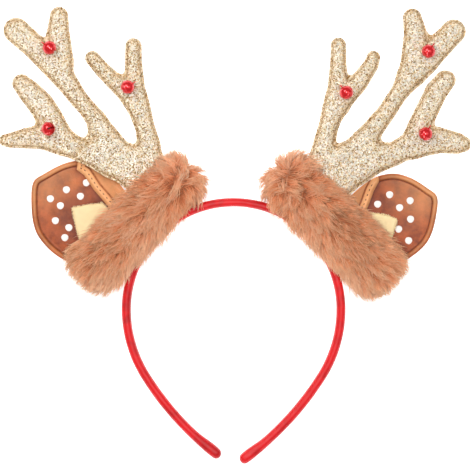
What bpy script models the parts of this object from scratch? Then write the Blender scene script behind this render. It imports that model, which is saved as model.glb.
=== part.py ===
"""Reindeer antler headband, lying on its back.

A satin-covered hoop carries two fur cuffs.  Out of each cuff come a padded
glitter antler and, behind it, a leather ear with a felt patch on its face.
Three small jingle bells are sewn to each antler.

+X runs to the right of the front view, +Y from the tips of the hoop to the
antlers and +Z from the back of the headband to its front.  The back rests on
z = 0.  The hoop's centre is the drawing's origin, and the last step moves the
model so that the middle of its footprint is there instead.
"""
import math

import bmesh
import bpy
import numpy as np
from mathutils import Vector
from mathutils.geometry import delaunay_2d_cdt

MM = 0.001
CLEARANCE = 0.3 * MM

# Hoop: a crown arc, then a flatter side arc and a nearly straight arm.
CROWN_RADIUS = 64.4 * MM
CROWN_HALF_ANGLE = 90.0
SIDE_RADIUS = 75.0 * MM
SIDE_ANGLE = 32.0
ARM_RADIUS = 180.0 * MM
ARM_ANGLE_LEFT = 21.2
ARM_ANGLE_RIGHT = 22.8
BAND_THICKNESS = 5.6 * MM
BAND_DEPTH = 8.0 * MM
CROWN_Z = 12.0 * MM
TIP_Z = 4.2 * MM

# Antlers: two layers of glitter cloth, stitched near the edge and stuffed.
ANTLER_HEIGHT = 110.0 * MM
TINE_WIDTH = 12.7 * MM
ANTLER_ANGLE = 32.0
ANTLER_ROOT_Z = 15.0 * MM
CROTCH_FILLET = 5.8 * MM
SEAM_WIDTH = 1.3 * MM
SEAM_THICKNESS = 1.2 * MM
STUFFING = 4.2 * MM
STUFFING_SPREAD = 4.0 * MM
CREASE_DEPTH = 1.4 * MM
CREASE_WIDTH = 2.2 * MM

# Ears: one sheet of leather each, with its upper side folded over as a flap.
EAR_LENGTH = 70.0 * MM
EAR_WIDTH = 57.6 * MM
EAR_THICKNESS = 1.4 * MM
EAR_ROOT_Z = 5.4 * MM
EAR_CUP = 3.2 * MM
EAR_ROOT_GAP = 3.5 * MM
PATCH_THICKNESS = 1.5 * MM

# Fur cuffs: a roll with round ends, flattened where it rests, under its locks.
CUFF_LENGTH = 70.0 * MM
CUFF_WIDTH = 37.0 * MM
CUFF_HEIGHT = 33.0 * MM
CUFF_FLAT = 2.0 * MM
LOCK_LENGTH = 19.0 * MM
LOCK_WIDTH = 8.0 * MM
LOCK_SPACING = 11.0 * MM
LOCK_LIFT = 4.6 * MM

# Bells: a shell with a cross slot, a wire loop to sew it on by and a pellet.
BELL_DIAMETER = 8.4 * MM
BELL_WALL = 0.45 * MM
BELL_SLOT = 0.9 * MM
BELL_LOOP_DIAMETER = 2.8 * MM
BELL_LOOP_WIRE = 0.8 * MM
PELLET_DIAMETER = 3.0 * MM

# Centre lines of the antler's limbs: out from the seat on the hoop and up, as
# shares of ANTLER_HEIGHT, and the limb's width there as a share of TINE_WIDTH.
# Columns: limb, out, up, width.
LEFT_LIMBS = (
    ("beam", -0.003, 0.003, 1.30),
    ("beam", 0.158, 0.215, 2.05),
    ("beam", 0.324, 0.314, 1.80),
    ("beam", 0.390, 0.428, 1.40),
    ("beam", 0.422, 0.513, 0.96),
    ("beam", 0.474, 0.578, 0.81),
    ("beam", 0.526, 0.638, 0.85),
    ("beam", 0.572, 0.704, 0.96),
    ("beam", 0.619, 0.767, 1.10),
    ("beam", 0.766, 0.919, 1.12),
    ("beam", 0.864, 1.007, 1.18),
    ("second", 0.608, 0.843, 0.98),
    ("second", 0.635, 0.990, 1.06),
    ("second", 0.630, 1.086, 0.83),
    ("inner", 0.149, 0.232, 1.75),
    ("inner", 0.136, 0.379, 1.05),
    ("inner", 0.160, 0.477, 0.90),
    ("inner", 0.190, 0.576, 1.05),
    ("inner", 0.215, 0.679, 0.95),
    ("inner", 0.223, 0.843, 0.76),
    ("inner", 0.223, 0.919, 0.74),
    ("third", 0.231, 0.636, 0.90),
    ("third", 0.390, 0.788, 0.72),
    ("third", 0.447, 0.854, 0.66),
    ("outer", 0.346, 0.297, 1.40),
    ("outer", 0.520, 0.355, 1.07),
    ("outer", 0.613, 0.406, 1.16),
    ("outer", 0.676, 0.521, 1.22),
    ("outer", 0.729, 0.603, 1.21),
    ("outer", 0.791, 0.671, 1.07),
    ("outer", 0.834, 0.716, 0.86),
    ("low", 0.619, 0.398, 1.00),
    ("low", 0.739, 0.422, 1.08),
    ("low", 0.804, 0.418, 0.96),
    ("low", 0.891, 0.406, 0.69),
    ("low", 0.924, 0.405, 0.55),
)
RIGHT_LIMBS = (
    ("beam", -0.003, 0.003, 1.30),
    ("beam", 0.180, 0.178, 2.40),
    ("beam", 0.327, 0.286, 2.10),
    ("beam", 0.387, 0.396, 1.25),
    ("beam", 0.439, 0.469, 0.96),
    ("beam", 0.510, 0.559, 0.84),
    ("beam", 0.570, 0.652, 0.82),
    ("beam", 0.630, 0.739, 1.04),
    ("beam", 0.720, 0.827, 1.10),
    ("beam", 0.810, 0.930, 1.15),
    ("beam", 0.878, 1.001, 1.12),
    ("second", 0.638, 0.767, 0.95),
    ("second", 0.657, 0.897, 1.05),
    ("second", 0.671, 0.974, 1.12),
    ("second", 0.652, 1.075, 0.86),
    ("inner", 0.158, 0.243, 1.60),
    ("inner", 0.169, 0.390, 0.98),
    ("inner", 0.194, 0.483, 0.92),
    ("inner", 0.224, 0.581, 1.10),
    ("inner", 0.245, 0.690, 0.95),
    ("inner", 0.247, 0.832, 0.73),
    ("inner", 0.248, 0.925, 0.69),
    ("third", 0.262, 0.608, 0.86),
    ("third", 0.355, 0.717, 0.87),
    ("third", 0.426, 0.816, 0.68),
    ("third", 0.439, 0.857, 0.62),
    ("outer", 0.371, 0.292, 1.70),
    ("outer", 0.551, 0.330, 1.10),
    ("outer", 0.649, 0.390, 1.08),
    ("outer", 0.698, 0.499, 1.08),
    ("outer", 0.780, 0.666, 1.02),
    ("outer", 0.835, 0.734, 0.90),
    ("low", 0.671, 0.374, 1.10),
    ("low", 0.797, 0.406, 1.20),
    ("low", 0.895, 0.390, 0.98),
    ("low", 0.927, 0.385, 0.75),
)
# A fold across the left antler's outer limb, from one (out, up) point to the other.
LEFT_CREASE = (
    (0.548, 0.319),
    (0.428, 0.428),
)

# Ear outlines: along the ear's middle line from the root, as shares of
# EAR_LENGTH, and across it, as shares of EAR_WIDTH, upper side positive.
# Columns: along, across.
EAR_OUTLINE = (
    (-0.085, -0.125),
    (0.120, -0.281),
    (0.342, -0.437),
    (0.547, -0.453),
    (0.735, -0.382),
    (0.849, -0.268),
    (0.950, -0.074),
    (1.003, 0.093),
    (0.957, 0.215),
    (0.846, 0.403),
    (0.709, 0.521),
    (0.530, 0.542),
    (0.291, 0.437),
    (0.068, 0.229),
    (-0.085, 0.135),
)
LEFT_FLAP = (
    (0.760, 0.540),
    (0.727, 0.419),
    (0.655, 0.406),
    (0.520, 0.316),
    (0.339, 0.231),
    (0.100, 0.130),
    (-0.120, 0.090),
)
RIGHT_FLAP = (
    (0.590, 0.580),
    (0.574, 0.504),
    (0.499, 0.419),
    (0.439, 0.325),
    (0.387, 0.252),
    (0.200, 0.150),
    (-0.120, 0.090),
)
LEFT_PATCH = (
    (0.616, 0.044),
    (0.512, 0.140),
    (0.410, 0.225),
    (0.250, 0.150),
    (0.070, 0.060),
    (0.070, -0.100),
    (0.250, -0.240),
    (0.380, -0.263),
    (0.430, -0.213),
    (0.520, -0.098),
)
RIGHT_PATCH = (
    (0.607, 0.010),
    (0.540, 0.100),
    (0.380, 0.215),
    (0.230, 0.140),
    (0.070, 0.060),
    (0.070, -0.100),
    (0.250, -0.250),
    (0.420, -0.290),
    (0.469, -0.206),
    (0.550, -0.090),
)

# The two sides: -1 is left in the front view.
SIDE_COLUMNS = ("side", "sign", "ear_angle", "ear_turn", "ear_long", "ear_wide",
                "cuff_angle", "cuff_radius", "cuff_turn", "cuff_long", "cuff_wide")
SIDES = (
    ("left", -1, 57.0, 27.5, 1.015, 1.020, 47.5, 1.209, 46.0, 0.87, 1.00),
    ("right", 1, 57.0, 20.8, 0.980, 0.905, 49.4, 1.218, 45.5, 0.90, 1.04),
)

# Bells: seats on the antlers as shares of ANTLER_HEIGHT, the way that the sewing
# loop points, in degrees from +X, and how far it is tilted down, in degrees.
BELL_COLUMNS = ("bell", "side", "out", "up", "heading", "tilt")
BELLS = (
    ("bell_left_upper", "left", 0.679, 0.908, 145.0, -25.0),
    ("bell_left_inner", "left", 0.253, 0.693, 33.0, -25.0),
    ("bell_left_outer", "left", 0.684, 0.466, 194.0, 40.0),
    ("bell_right_upper", "right", 0.737, 0.889, 54.0, -25.0),
    ("bell_right_inner", "right", 0.289, 0.663, 130.0, -25.0),
    ("bell_right_outer", "right", 0.720, 0.439, 60.0, -25.0),
)

# Mesh spacing of the sheets, the antlers and the hoop.
SHEET_STEP = 6.6 * MM
FLAP_STEP_WIDTH = 0.5 * MM
OUTLINE_STEP = 9.0 * MM
OUTLINE_TOLERANCE = 0.34 * MM
CONTOUR_CELL = 1.0 * MM
BAND_STEP = 11.0 * MM
BAND_SIDES = 10
CUFF_CELL = 1.0 * MM
CUFF_FACES = 900

# colour, roughness, metallic
FINISHES = {
    "satin_red": ((0.72, 0.025, 0.03), 0.45, 0.0),
    "glitter_gold": ((0.72, 0.60, 0.40), 0.35, 0.4),
    "leather_brown": ((0.46, 0.14, 0.05), 0.55, 0.0),
    "felt_cream": ((0.88, 0.78, 0.50), 0.95, 0.0),
    "fur_tan": ((0.62, 0.29, 0.14), 0.9, 0.0),
    "bell_red": ((0.68, 0.01, 0.01), 0.2, 0.6),
    "steel": ((0.6, 0.6, 0.6), 0.3, 1.0),
}


def material(finish):
    """The named finish as a Principled material, made once."""
    if finish in bpy.data.materials:
        return bpy.data.materials[finish]
    colour, roughness, metallic = FINISHES[finish]
    made = bpy.data.materials.new(finish)
    made.use_nodes = True
    shader = made.node_tree.nodes["Principled BSDF"]
    shader.inputs["Base Color"].default_value = (*colour, 1.0)
    shader.inputs["Roughness"].default_value = roughness
    shader.inputs["Metallic"].default_value = metallic
    made.diffuse_color = (*colour, 1.0)
    return made


def new_object(name, vertices, faces, finish=None):
    """A mesh object from arrays, with its faces turned outwards."""
    mesh = bpy.data.meshes.new(name)
    mesh.from_pydata([tuple(map(float, v)) for v in vertices], [], faces)
    shell = bmesh.new()
    shell.from_mesh(mesh)
    bmesh.ops.recalc_face_normals(shell, faces=shell.faces)
    bmesh.ops.triangulate(shell, faces=shell.faces)
    shell.to_mesh(mesh)
    shell.free()
    made = bpy.data.objects.new(name, mesh)
    bpy.context.scene.collection.objects.link(made)
    if finish:
        mesh.materials.append(material(finish))
    return made


def as_cutter(cutter):
    """Marks an object as a cutting tool, which isn't part of the headband."""
    cutter.hide_render = True
    cutter.display_type = 'WIRE'
    return cutter


def boolean(target, tool, operation='DIFFERENCE', self_crossing=False):
    """An exact Boolean of the target with one tool object."""
    step = target.modifiers.new(tool.name, 'BOOLEAN')
    step.operation = operation
    step.solver = 'EXACT'
    step.use_self = self_crossing
    step.object = tool
    return step


def settle(target):
    """Replaces the target's mesh by its evaluated one and drops the tools."""
    tools = [step.object for step in target.modifiers if step.type == 'BOOLEAN']
    graph = bpy.context.evaluated_depsgraph_get()
    mesh = bpy.data.meshes.new_from_object(target.evaluated_get(graph))
    mesh.name = target.name
    target.modifiers.clear()
    target.data = mesh
    for tool in set(tools):
        bpy.data.objects.remove(tool)


# Plane curves


def closed_curve(points, per_span=8):
    """A smooth closed curve through the points (Catmull-Rom)."""
    p = np.asarray(points, float)
    before, after, beyond = np.roll(p, 1, 0), np.roll(p, -1, 0), np.roll(p, -2, 0)
    t = (np.arange(per_span) / per_span)[None, :, None]
    a, b, c, d = (q[:, None, :] for q in (before, p, after, beyond))
    spans = 0.5 * (2 * b + (c - a) * t + (2 * a - 5 * b + 4 * c - d) * t ** 2
                   + (3 * b - a - 3 * c + d) * t ** 3)
    return spans.reshape(-1, 2)


def thinned(loop, tolerance, longest):
    """A closed line's points, fewest within a tolerance and a longest edge."""
    loop = np.asarray(loop)
    far = int(np.argmax(np.linalg.norm(loop - loop[0], axis=1)))
    keep = {0, far}
    spans = [(0, far), (far, len(loop))]
    while spans:
        first, last = spans.pop()
        if last - first < 2:
            continue
        a, b = loop[first], loop[last % len(loop)]
        chord = b - a
        length = max(np.linalg.norm(chord), 1e-9)
        inside = loop[first + 1:last] - a
        off = np.abs(inside[:, 0] * chord[1] - inside[:, 1] * chord[0]) / length
        worst = int(np.argmax(off))
        if off[worst] <= tolerance:
            if length <= longest:
                continue
            worst = (last - first) // 2 - 1
        middle = first + 1 + worst
        keep.add(middle)
        spans += [(first, middle), (middle, last)]
    return loop[sorted(keep)]


def stepped(line, step, closed=True):
    """Points at even steps along a line."""
    line = np.asarray(line)
    if closed:
        line = np.vstack([line, line[:1]])
    run = np.concatenate([[0], np.cumsum(np.linalg.norm(np.diff(line, axis=0), axis=1))])
    count = max(int(round(run[-1] / step)), 2)
    at = np.linspace(0, run[-1], count + 1)
    if closed:
        at = at[:-1]
    return np.stack([np.interp(at, run, line[:, k]) for k in (0, 1)], 1)


def inside(points, loop):
    """Which points lie inside a closed line (even-odd rule)."""
    x, y = points[:, 0, None], points[:, 1, None]
    x0, y0 = loop[:, 0], loop[:, 1]
    x1, y1 = np.roll(x0, -1), np.roll(y0, -1)
    straddles = (y0 > y) != (y1 > y)
    rise = np.where(y1 == y0, 1e-12, y1 - y0)
    return (straddles & (x < x0 + (y - y0) * (x1 - x0) / rise)).sum(1) % 2 == 1


def anticlockwise(loop):
    """A closed line's points in anticlockwise order."""
    x, y = loop.T
    area = (x * np.roll(y, -1) - y * np.roll(x, -1)).sum()
    return loop if area > 0 else loop[::-1]


def distance_to(points, line, closed=True):
    """Distance of each point to a line through given points."""
    a = np.asarray(line)
    b = np.roll(a, -1, 0)
    if not closed:
        a, b = a[:-1], b[:-1]
    ab = b - a
    rel = points[:, None, :] - a[None]
    t = np.clip((rel * ab).sum(2) / np.maximum((ab * ab).sum(1), 1e-18), 0, 1)
    return np.linalg.norm(rel - t[..., None] * ab, axis=2).min(1)


def lattice(loop, step):
    """Staggered points over the box round a closed line."""
    low, high = loop.min(0), loop.max(0)
    rows = np.arange(low[1], high[1], step * math.sqrt(3) / 2)
    grid = [np.stack([np.arange(low[0] + (k % 2) * step / 2, high[0], step),
                      np.full(len(np.arange(low[0] + (k % 2) * step / 2, high[0], step)), y)], 1)
            for k, y in enumerate(rows)]
    return np.concatenate(grid)


def plate(name, outline, guides, points, low, high, grow=0.0, finish=None):
    """A closed solid between two height functions over a plane outline.

    Guides are lines that the mesh follows, as (points, closed) pairs, and
    points are further places for its corners.  A grown plate has the same
    corners, moved out all round by the clearance.
    """
    vertices, edges = [], []
    for line, closed in [(outline, True)] + list(guides):
        start = len(vertices)
        vertices += [Vector(p) for p in line]
        count = len(line)
        edges += [(start + k, start + (k + 1) % count)
                  for k in range(count if closed else count - 1)]
    vertices += [Vector(p) for p in points]
    flat, _, triangles, *_ = delaunay_2d_cdt(vertices, edges, [], 1, 1e-7)
    flat = np.array([tuple(v) for v in flat])
    centre = flat[np.array(triangles)].mean(1)
    triangles = [t for t, keep in zip(triangles, inside(centre, np.asarray(outline))) if keep]
    used = sorted({k for t in triangles for k in t})
    renumber = {old: new for new, old in enumerate(used)}
    flat = flat[used]
    top = [tuple(renumber[k] for k in t) for t in triangles]
    count = len(flat)
    sides = {}
    for a, b, c in top:
        for edge in ((a, b), (b, c), (c, a)):
            sides[edge] = True
    rim = [edge for edge in sides if (edge[1], edge[0]) not in sides]
    outward = np.zeros((count, 2))
    for a, b in rim:
        run = (flat[b] - flat[a]) / np.linalg.norm(flat[b] - flat[a])
        outward[[a, b]] += (run[1], -run[0])
    length = np.linalg.norm(outward, axis=1, keepdims=True)
    place = flat + grow * outward / np.where(length > 0, length, 1)
    faces = [tuple(t) for t in top]
    faces += [(c + count, b + count, a + count) for a, b, c in top]
    faces += [(b, a, a + count, b + count) for a, b in rim]
    solid = np.concatenate([np.column_stack([place, high(flat) + grow]),
                            np.column_stack([place, low(flat) - grow])])
    return new_object(name, solid, faces, finish)


# The hoop


def hoop_half(step, arm_angle):
    """The centre line from the crown to a tip on the right and its outward normals."""
    arcs = ((CROWN_RADIUS, CROWN_HALF_ANGLE), (SIDE_RADIUS, SIDE_ANGLE), (ARM_RADIUS, arm_angle))
    points, normals = [], []
    centre, heading = np.array([0.0, 0.0]), 0.0
    for k, (radius, sweep) in enumerate(arcs):
        sweep = math.radians(sweep)
        count = max(int(math.ceil(radius * sweep / step)), 2)
        for angle in heading + np.linspace(0, sweep, count + 1)[0 if k == 0 else 1:]:
            normal = np.array([math.sin(angle), math.cos(angle)])
            points.append(centre + radius * normal)
            normals.append(normal)
        heading += sweep
        if k + 1 < len(arcs):
            centre = centre + (radius - arcs[k + 1][0]) * normals[-1]
    return np.array(points), np.array(normals)


def hoop_z(y):
    """Height of the band's middle: the hoop leans from its crown down to its tips."""
    bottom = hoop_half(BAND_STEP, ARM_ANGLE_RIGHT)[0][:, 1].min()
    return TIP_Z + (CROWN_Z - TIP_Z) * (y - bottom) / (CROWN_RADIUS - bottom)


def band(name, grow=0.0, finish=None):
    """The covered band: an oval section carried round the hoop, with blunt swollen tips."""
    left_half, left_normals = hoop_half(BAND_STEP, ARM_ANGLE_LEFT)
    right_half, right_normals = hoop_half(BAND_STEP, ARM_ANGLE_RIGHT)
    centre = np.concatenate([left_half[:0:-1] * (-1, 1), right_half])
    outward = np.concatenate([left_normals[:0:-1] * (-1, 1), right_normals])
    run = np.concatenate([[0], np.cumsum(np.linalg.norm(np.diff(centre, axis=0), axis=1))])
    left = np.minimum(run, run[-1] - run)
    swell = 1 + 0.22 * np.exp(-((left - BAND_THICKNESS) / (1.6 * BAND_THICKNESS)) ** 2)
    slim = 0.9 + 0.1 * np.clip((run[-1] / 2 - left) / (0.25 * run[-1]), 0, 1)
    blunt = 0.45 * BAND_THICKNESS
    ends = np.array([0.0, 0.25, 1.0]) * blunt
    at = np.concatenate([ends, run[(run > 2 * blunt) & (run < run[-1] - 2 * blunt)],
                         run[-1] - ends[::-1]])
    centre = np.stack([np.interp(at, run, centre[:, k]) for k in (0, 1)], 1)
    outward = np.stack([np.interp(at, run, outward[:, k]) for k in (0, 1)], 1)
    left = np.minimum(at, at[-1] - at)
    round_off = np.sqrt(np.clip(1 - (1 - np.clip(left / blunt, 0, 1)) ** 2, 0.16, 1))
    size = np.interp(at, run, swell * slim) * round_off
    angle = 2 * np.pi * (np.arange(BAND_SIDES) + 0.5) / BAND_SIDES
    across = np.sign(np.cos(angle)) * np.abs(np.cos(angle)) ** 0.8
    up = np.sign(np.sin(angle)) * np.abs(np.sin(angle)) ** 0.8
    radial = size[:, None] * (BAND_THICKNESS / 2) * across + grow * across
    height = np.minimum(size[:, None], 1) * (BAND_DEPTH / 2) * up + grow * up
    rings = np.empty((len(at), BAND_SIDES, 3))
    rings[..., :2] = centre[:, None, :] + outward[:, None, :] * radial[..., None]
    rings[..., 2] = hoop_z(centre[:, 1])[:, None] + height
    count = BAND_SIDES
    faces = [tuple(range(count)), tuple((len(at) - 1) * count + np.arange(count))]
    for r in range(len(at) - 1):
        for k in range(count):
            m = (k + 1) % count
            faces.append((r * count + k, r * count + m, (r + 1) * count + m, (r + 1) * count + k))
    faces = [tuple(int(v) for v in face) for face in faces]
    return new_object(name, rings.reshape(-1, 3), faces, finish)


def seat_on_hoop(angle, side):
    """The point on the crown's outer face at an angle from the top."""
    radius = CROWN_RADIUS + BAND_THICKNESS / 2
    angle = math.radians(angle)
    return np.array([side * math.sin(angle), math.cos(angle)]) * radius


# The antlers


def limb_chains(rows, root, side):
    """The limbs' centre lines and radii in place, in the order of the table."""
    chains = {}
    for limb, out, up, width in rows:
        place = root + ANTLER_HEIGHT * np.array([side * out, up])
        chains.setdefault(limb, []).append((place, width * TINE_WIDTH / 2))
    return list(chains.values())


def antler_distance(points, chains):
    """Signed distance to the limbs, each a run of tapered bars, blended where they fork."""
    total = None
    for chain in chains:
        nearest = np.full(len(points), np.inf)
        for (a, ra), (b, rb) in zip(chain[:-1], chain[1:]):
            ab = b - a
            t = np.clip(((points - a) @ ab) / (ab @ ab), 0, 1)
            gap = np.linalg.norm(points - a - t[:, None] * ab, axis=1)
            nearest = np.minimum(nearest, gap - (ra + t * (rb - ra)))
        if total is None:
            total = nearest
        else:
            near = np.clip(CROTCH_FILLET - np.abs(total - nearest), 0, None) / CROTCH_FILLET
            total = np.minimum(total, nearest) - near ** 2 * CROTCH_FILLET / 4
    return total


def contour(field, xs, ys):
    """The longest closed line where a field on a grid is zero, anticlockwise round its inside."""
    def crossing(edge):
        i, j, upright = edge
        if upright:
            t = field[i, j] / (field[i, j] - field[i, j + 1])
            return xs[i], ys[j] + t * (ys[j + 1] - ys[j])
        t = field[i, j] / (field[i, j] - field[i + 1, j])
        return xs[i] + t * (xs[i + 1] - xs[i]), ys[j]

    below = field < 0
    count = below[:-1, :-1].astype(int) + below[1:, :-1] + below[:-1, 1:] + below[1:, 1:]
    links = {}
    for i, j in zip(*np.nonzero((count > 0) & (count < 4))):
        i, j = int(i), int(j)
        around = [((i, j, 0), below[i, j], below[i + 1, j]),
                  ((i + 1, j, 1), below[i + 1, j], below[i + 1, j + 1]),
                  ((i, j + 1, 0), below[i + 1, j + 1], below[i, j + 1]),
                  ((i, j, 1), below[i, j + 1], below[i, j])]
        leaves = [edge for edge, a, b in around if a and not b]
        enters = [edge for edge, a, b in around if b and not a]
        for a, b in zip(leaves, enters):
            links[a] = b
    loops = []
    while links:
        start, edge = links.popitem()
        loop = [start]
        while edge != start and edge in links:
            loop.append(edge)
            edge = links.pop(edge)
        loops.append(loop)
    longest = max(loops, key=len)
    return anticlockwise(np.array([crossing(edge) for edge in longest]))


class Antler:
    """One antler's outline, its padded height and the way it leans."""

    def __init__(self, rows, side, crease=None):
        self.side = side
        self.root = seat_on_hoop(ANTLER_ANGLE, side)
        self.chains = limb_chains(rows, self.root, side)
        self.crease = crease
        places = np.array([p for chain in self.chains for p, _ in chain])
        widest = max(r for chain in self.chains for _, r in chain)
        low = places.min(0) - widest - 3 * CONTOUR_CELL
        high = places.max(0) + widest + 3 * CONTOUR_CELL
        self.xs = np.arange(low[0], high[0], CONTOUR_CELL)
        self.ys = np.arange(low[1], high[1], CONTOUR_CELL)
        gx, gy = np.meshgrid(self.xs, self.ys, indexing="ij")
        self.field = antler_distance(np.stack([gx.ravel(), gy.ravel()], 1), self.chains)
        self.field = self.field.reshape(gx.shape)
        self.swell = self.stuffed()
        places = np.concatenate([self.spine(), self.outline(0.0)])
        reach = np.linalg.norm(places - self.root, axis=1)
        depth = self.half_thickness(places)
        far = reach > 0.6 * reach.max()
        self.slope = ((ANTLER_ROOT_Z - depth[far]) / reach[far]).min()

    def stuffed(self):
        """Height of the stuffing on the grid: a sheet under even pressure, held at the stitches.

        The height u follows lap(u) = u / spread^2 - 1, worked out by relaxation.
        """
        held = self.field > -SEAM_WIDTH
        u = np.zeros_like(self.field)
        cell = CONTOUR_CELL / STUFFING_SPREAD
        for _ in range(160):
            around = np.zeros_like(u)
            around[1:-1, 1:-1] = u[2:, 1:-1] + u[:-2, 1:-1] + u[1:-1, 2:] + u[1:-1, :-2]
            u = (around + cell ** 2) / (4 + cell ** 2)
            u[held] = 0
        return STUFFING * np.sqrt(np.clip(u, 0, None))

    def sample(self, grid, points):
        """A grid's values at points, straight between the grid's own."""
        fx = np.clip((points[:, 0] - self.xs[0]) / CONTOUR_CELL, 0, len(self.xs) - 1.001)
        fy = np.clip((points[:, 1] - self.ys[0]) / CONTOUR_CELL, 0, len(self.ys) - 1.001)
        i, j = fx.astype(int), fy.astype(int)
        tx, ty = fx - i, fy - j
        return ((1 - tx) * (1 - ty) * grid[i, j] + tx * (1 - ty) * grid[i + 1, j]
                + (1 - tx) * ty * grid[i, j + 1] + tx * ty * grid[i + 1, j + 1])

    def half_thickness(self, points):
        """Half the antler's thickness at points, with its crease."""
        depth = SEAM_THICKNESS / 2 + self.sample(self.swell, points)
        if self.crease is not None:
            away = distance_to(points, self.crease, closed=False)
            depth = depth - CREASE_DEPTH * np.exp(-(away / CREASE_WIDTH) ** 2)
            depth = np.maximum(depth, SEAM_THICKNESS / 2)
        return depth

    def middle(self, points):
        """Height of the antler's middle plane, which leans down away from its root."""
        return ANTLER_ROOT_Z - self.slope * np.linalg.norm(points - self.root, axis=1)

    def top(self, points):
        """Height of the antler's front face."""
        return self.middle(points) + self.half_thickness(points)

    def outline(self, level):
        """The line at a signed distance from the cut edge, outside it or within."""
        return contour(self.field - level, self.xs, self.ys)

    def spine(self):
        """Points along the middle lines of the limbs."""
        lines = [stepped([p for p, _ in chain], OUTLINE_STEP, closed=False)
                 for chain in self.chains]
        return np.concatenate(lines)

    def solid(self, name, grow=0.0, finish=None):
        """The padded antler as a closed solid."""
        edge = thinned(self.outline(0.0), OUTLINE_TOLERANCE, OUTLINE_STEP)
        stitch = thinned(self.outline(-SEAM_WIDTH), OUTLINE_TOLERANCE, OUTLINE_STEP)
        shoulder = thinned(self.outline(-2.2 * SEAM_WIDTH), 2 * OUTLINE_TOLERANCE, OUTLINE_STEP)
        middle = self.spine()
        fill = lattice(edge, OUTLINE_STEP)
        fill = fill[distance_to(fill, middle) > 0.8 * OUTLINE_STEP]
        points = np.concatenate([middle, fill])
        if self.crease is not None:
            points = points[distance_to(points, self.crease, closed=False) > 1.4 * CREASE_WIDTH]
            along = np.asarray(self.crease)
            normal = (along[1] - along[0]) / np.linalg.norm(along[1] - along[0])
            normal = np.array([-normal[1], normal[0]])
            folds = [stepped(along + k * CREASE_WIDTH * normal, OUTLINE_STEP / 2, closed=False)
                     for k in (-1.2, 0, 1.2)]
            points = np.concatenate([points] + folds)
        depth = -self.sample(self.field, points)
        points = points[depth > 2.2 * SEAM_WIDTH + 0.12 * OUTLINE_STEP]
        points = spaced(points, 0.5 * OUTLINE_STEP)
        return plate(name, edge, [(stitch, True), (shoulder, True)], points,
                     lambda p: self.middle(p) - self.half_thickness(p), self.top, grow, finish)


def spaced(points, least):
    """The points in order, without those nearer than a distance to one kept before."""
    kept = []
    for p in points:
        if all((p[0] - q[0]) ** 2 + (p[1] - q[1]) ** 2 > least ** 2 for q in kept):
            kept.append(p)
    return np.array(kept)


# The ears


class Ear:
    """One ear's outline in place and the height of its leather."""

    def __init__(self, side, angle, turn, long, wide, flap, patch):
        seat = seat_on_hoop(angle, side)
        self.root = seat + EAR_ROOT_GAP * seat / np.linalg.norm(seat)
        turn = math.radians(turn)
        self.along = np.array([side * math.cos(turn), math.sin(turn)])
        self.across = np.array([-side * math.sin(turn), math.cos(turn)])
        self.long, self.wide = long * EAR_LENGTH, wide * EAR_WIDTH
        self.side = side
        self.rim = anticlockwise(closed_curve(self.place(EAR_OUTLINE)))
        self.fold = self.place(flap)
        self.patch = anticlockwise(self.place(patch))

    def place(self, rows):
        """Rows of (along, across) shares as points on the plane."""
        rows = np.asarray(rows)
        return (self.root + rows[:, :1] * self.long * self.along
                + rows[:, 1:] * self.wide * self.across)

    def shares(self, points):
        """Points on the plane as (along, across) shares."""
        rel = points - self.root
        return rel @ self.along / self.long, rel @ self.across / self.wide

    def low(self, points):
        """Height of the leather's back: down from the root to the belly, up at the hem."""
        along, across = self.shares(points)
        near = np.clip(1 - along / 0.5, 0, 1)
        root = EAR_ROOT_Z * near ** 2 * (3 - 2 * near)
        lower = np.clip(-across / 0.45, 0, 1.2) ** 2
        tip = np.clip((along - 0.55) / 0.45, 0, 1.2) ** 2
        upper = 0.25 * np.clip(across / 0.5, 0, 1.2) ** 2
        cup = EAR_CUP * np.clip(lower + 0.6 * tip + upper, 0, 1.5)
        return root + cup * np.clip(along / 0.25, 0, 1)

    def flap(self, points):
        """1 on the folded flap and 0 off it."""
        along, across = self.shares(points)
        fold = self.shares(self.fold)
        order = np.argsort(fold[0])
        edge = np.interp(along, fold[0][order], fold[1][order])
        beyond = along > fold[0].max()
        return np.where((across > edge) & ~beyond, 1.0, 0.0)

    def high(self, points):
        """Height of the leather's face, a layer higher on the flap."""
        return self.low(points) + EAR_THICKNESS * (1 + self.flap(points))

    def solid(self, name, grow=0.0, finish=None):
        """The leather ear as a closed solid."""
        edge = stepped(self.rim, SHEET_STEP)
        fold = stepped(self.fold, SHEET_STEP, closed=False)
        shift = FLAP_STEP_WIDTH / 2 * self.across
        steps = []
        for k in (-1, 1):
            line = fold + k * shift
            line = line[inside(line, edge) & (distance_to(line, edge) > 0.1 * SHEET_STEP)]
            steps.append((line, False))
        fill = lattice(edge, SHEET_STEP)
        clear = distance_to(fill, fold, closed=False) > 0.45 * SHEET_STEP
        fill = fill[inside(fill, edge) & (distance_to(fill, edge) > 0.45 * SHEET_STEP) & clear]
        return plate(name, edge, steps, fill, self.low, self.high, grow, finish)

    def patch_low(self, points):
        """Height of the felt's back, just over the leather."""
        return self.low(points) + EAR_THICKNESS + CLEARANCE

    def patch_solid(self, name, grow=0.0, finish=None):
        """The felt patch as a closed solid on the ear's face."""
        edge = stepped(self.patch, SHEET_STEP)
        edge = np.concatenate([edge, self.patch])
        middle = self.patch.mean(0)
        edge = edge[np.argsort(np.arctan2(*(edge - middle).T[::-1]))]
        edge = spaced(edge, 0.15 * SHEET_STEP)
        fill = lattice(edge, SHEET_STEP)
        fill = fill[inside(fill, edge) & (distance_to(fill, edge) > 0.4 * SHEET_STEP)]
        return plate(name, edge, [], fill, self.patch_low,
                     lambda p: self.patch_low(p) + PATCH_THICKNESS, grow, finish)


# The fur cuffs


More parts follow.
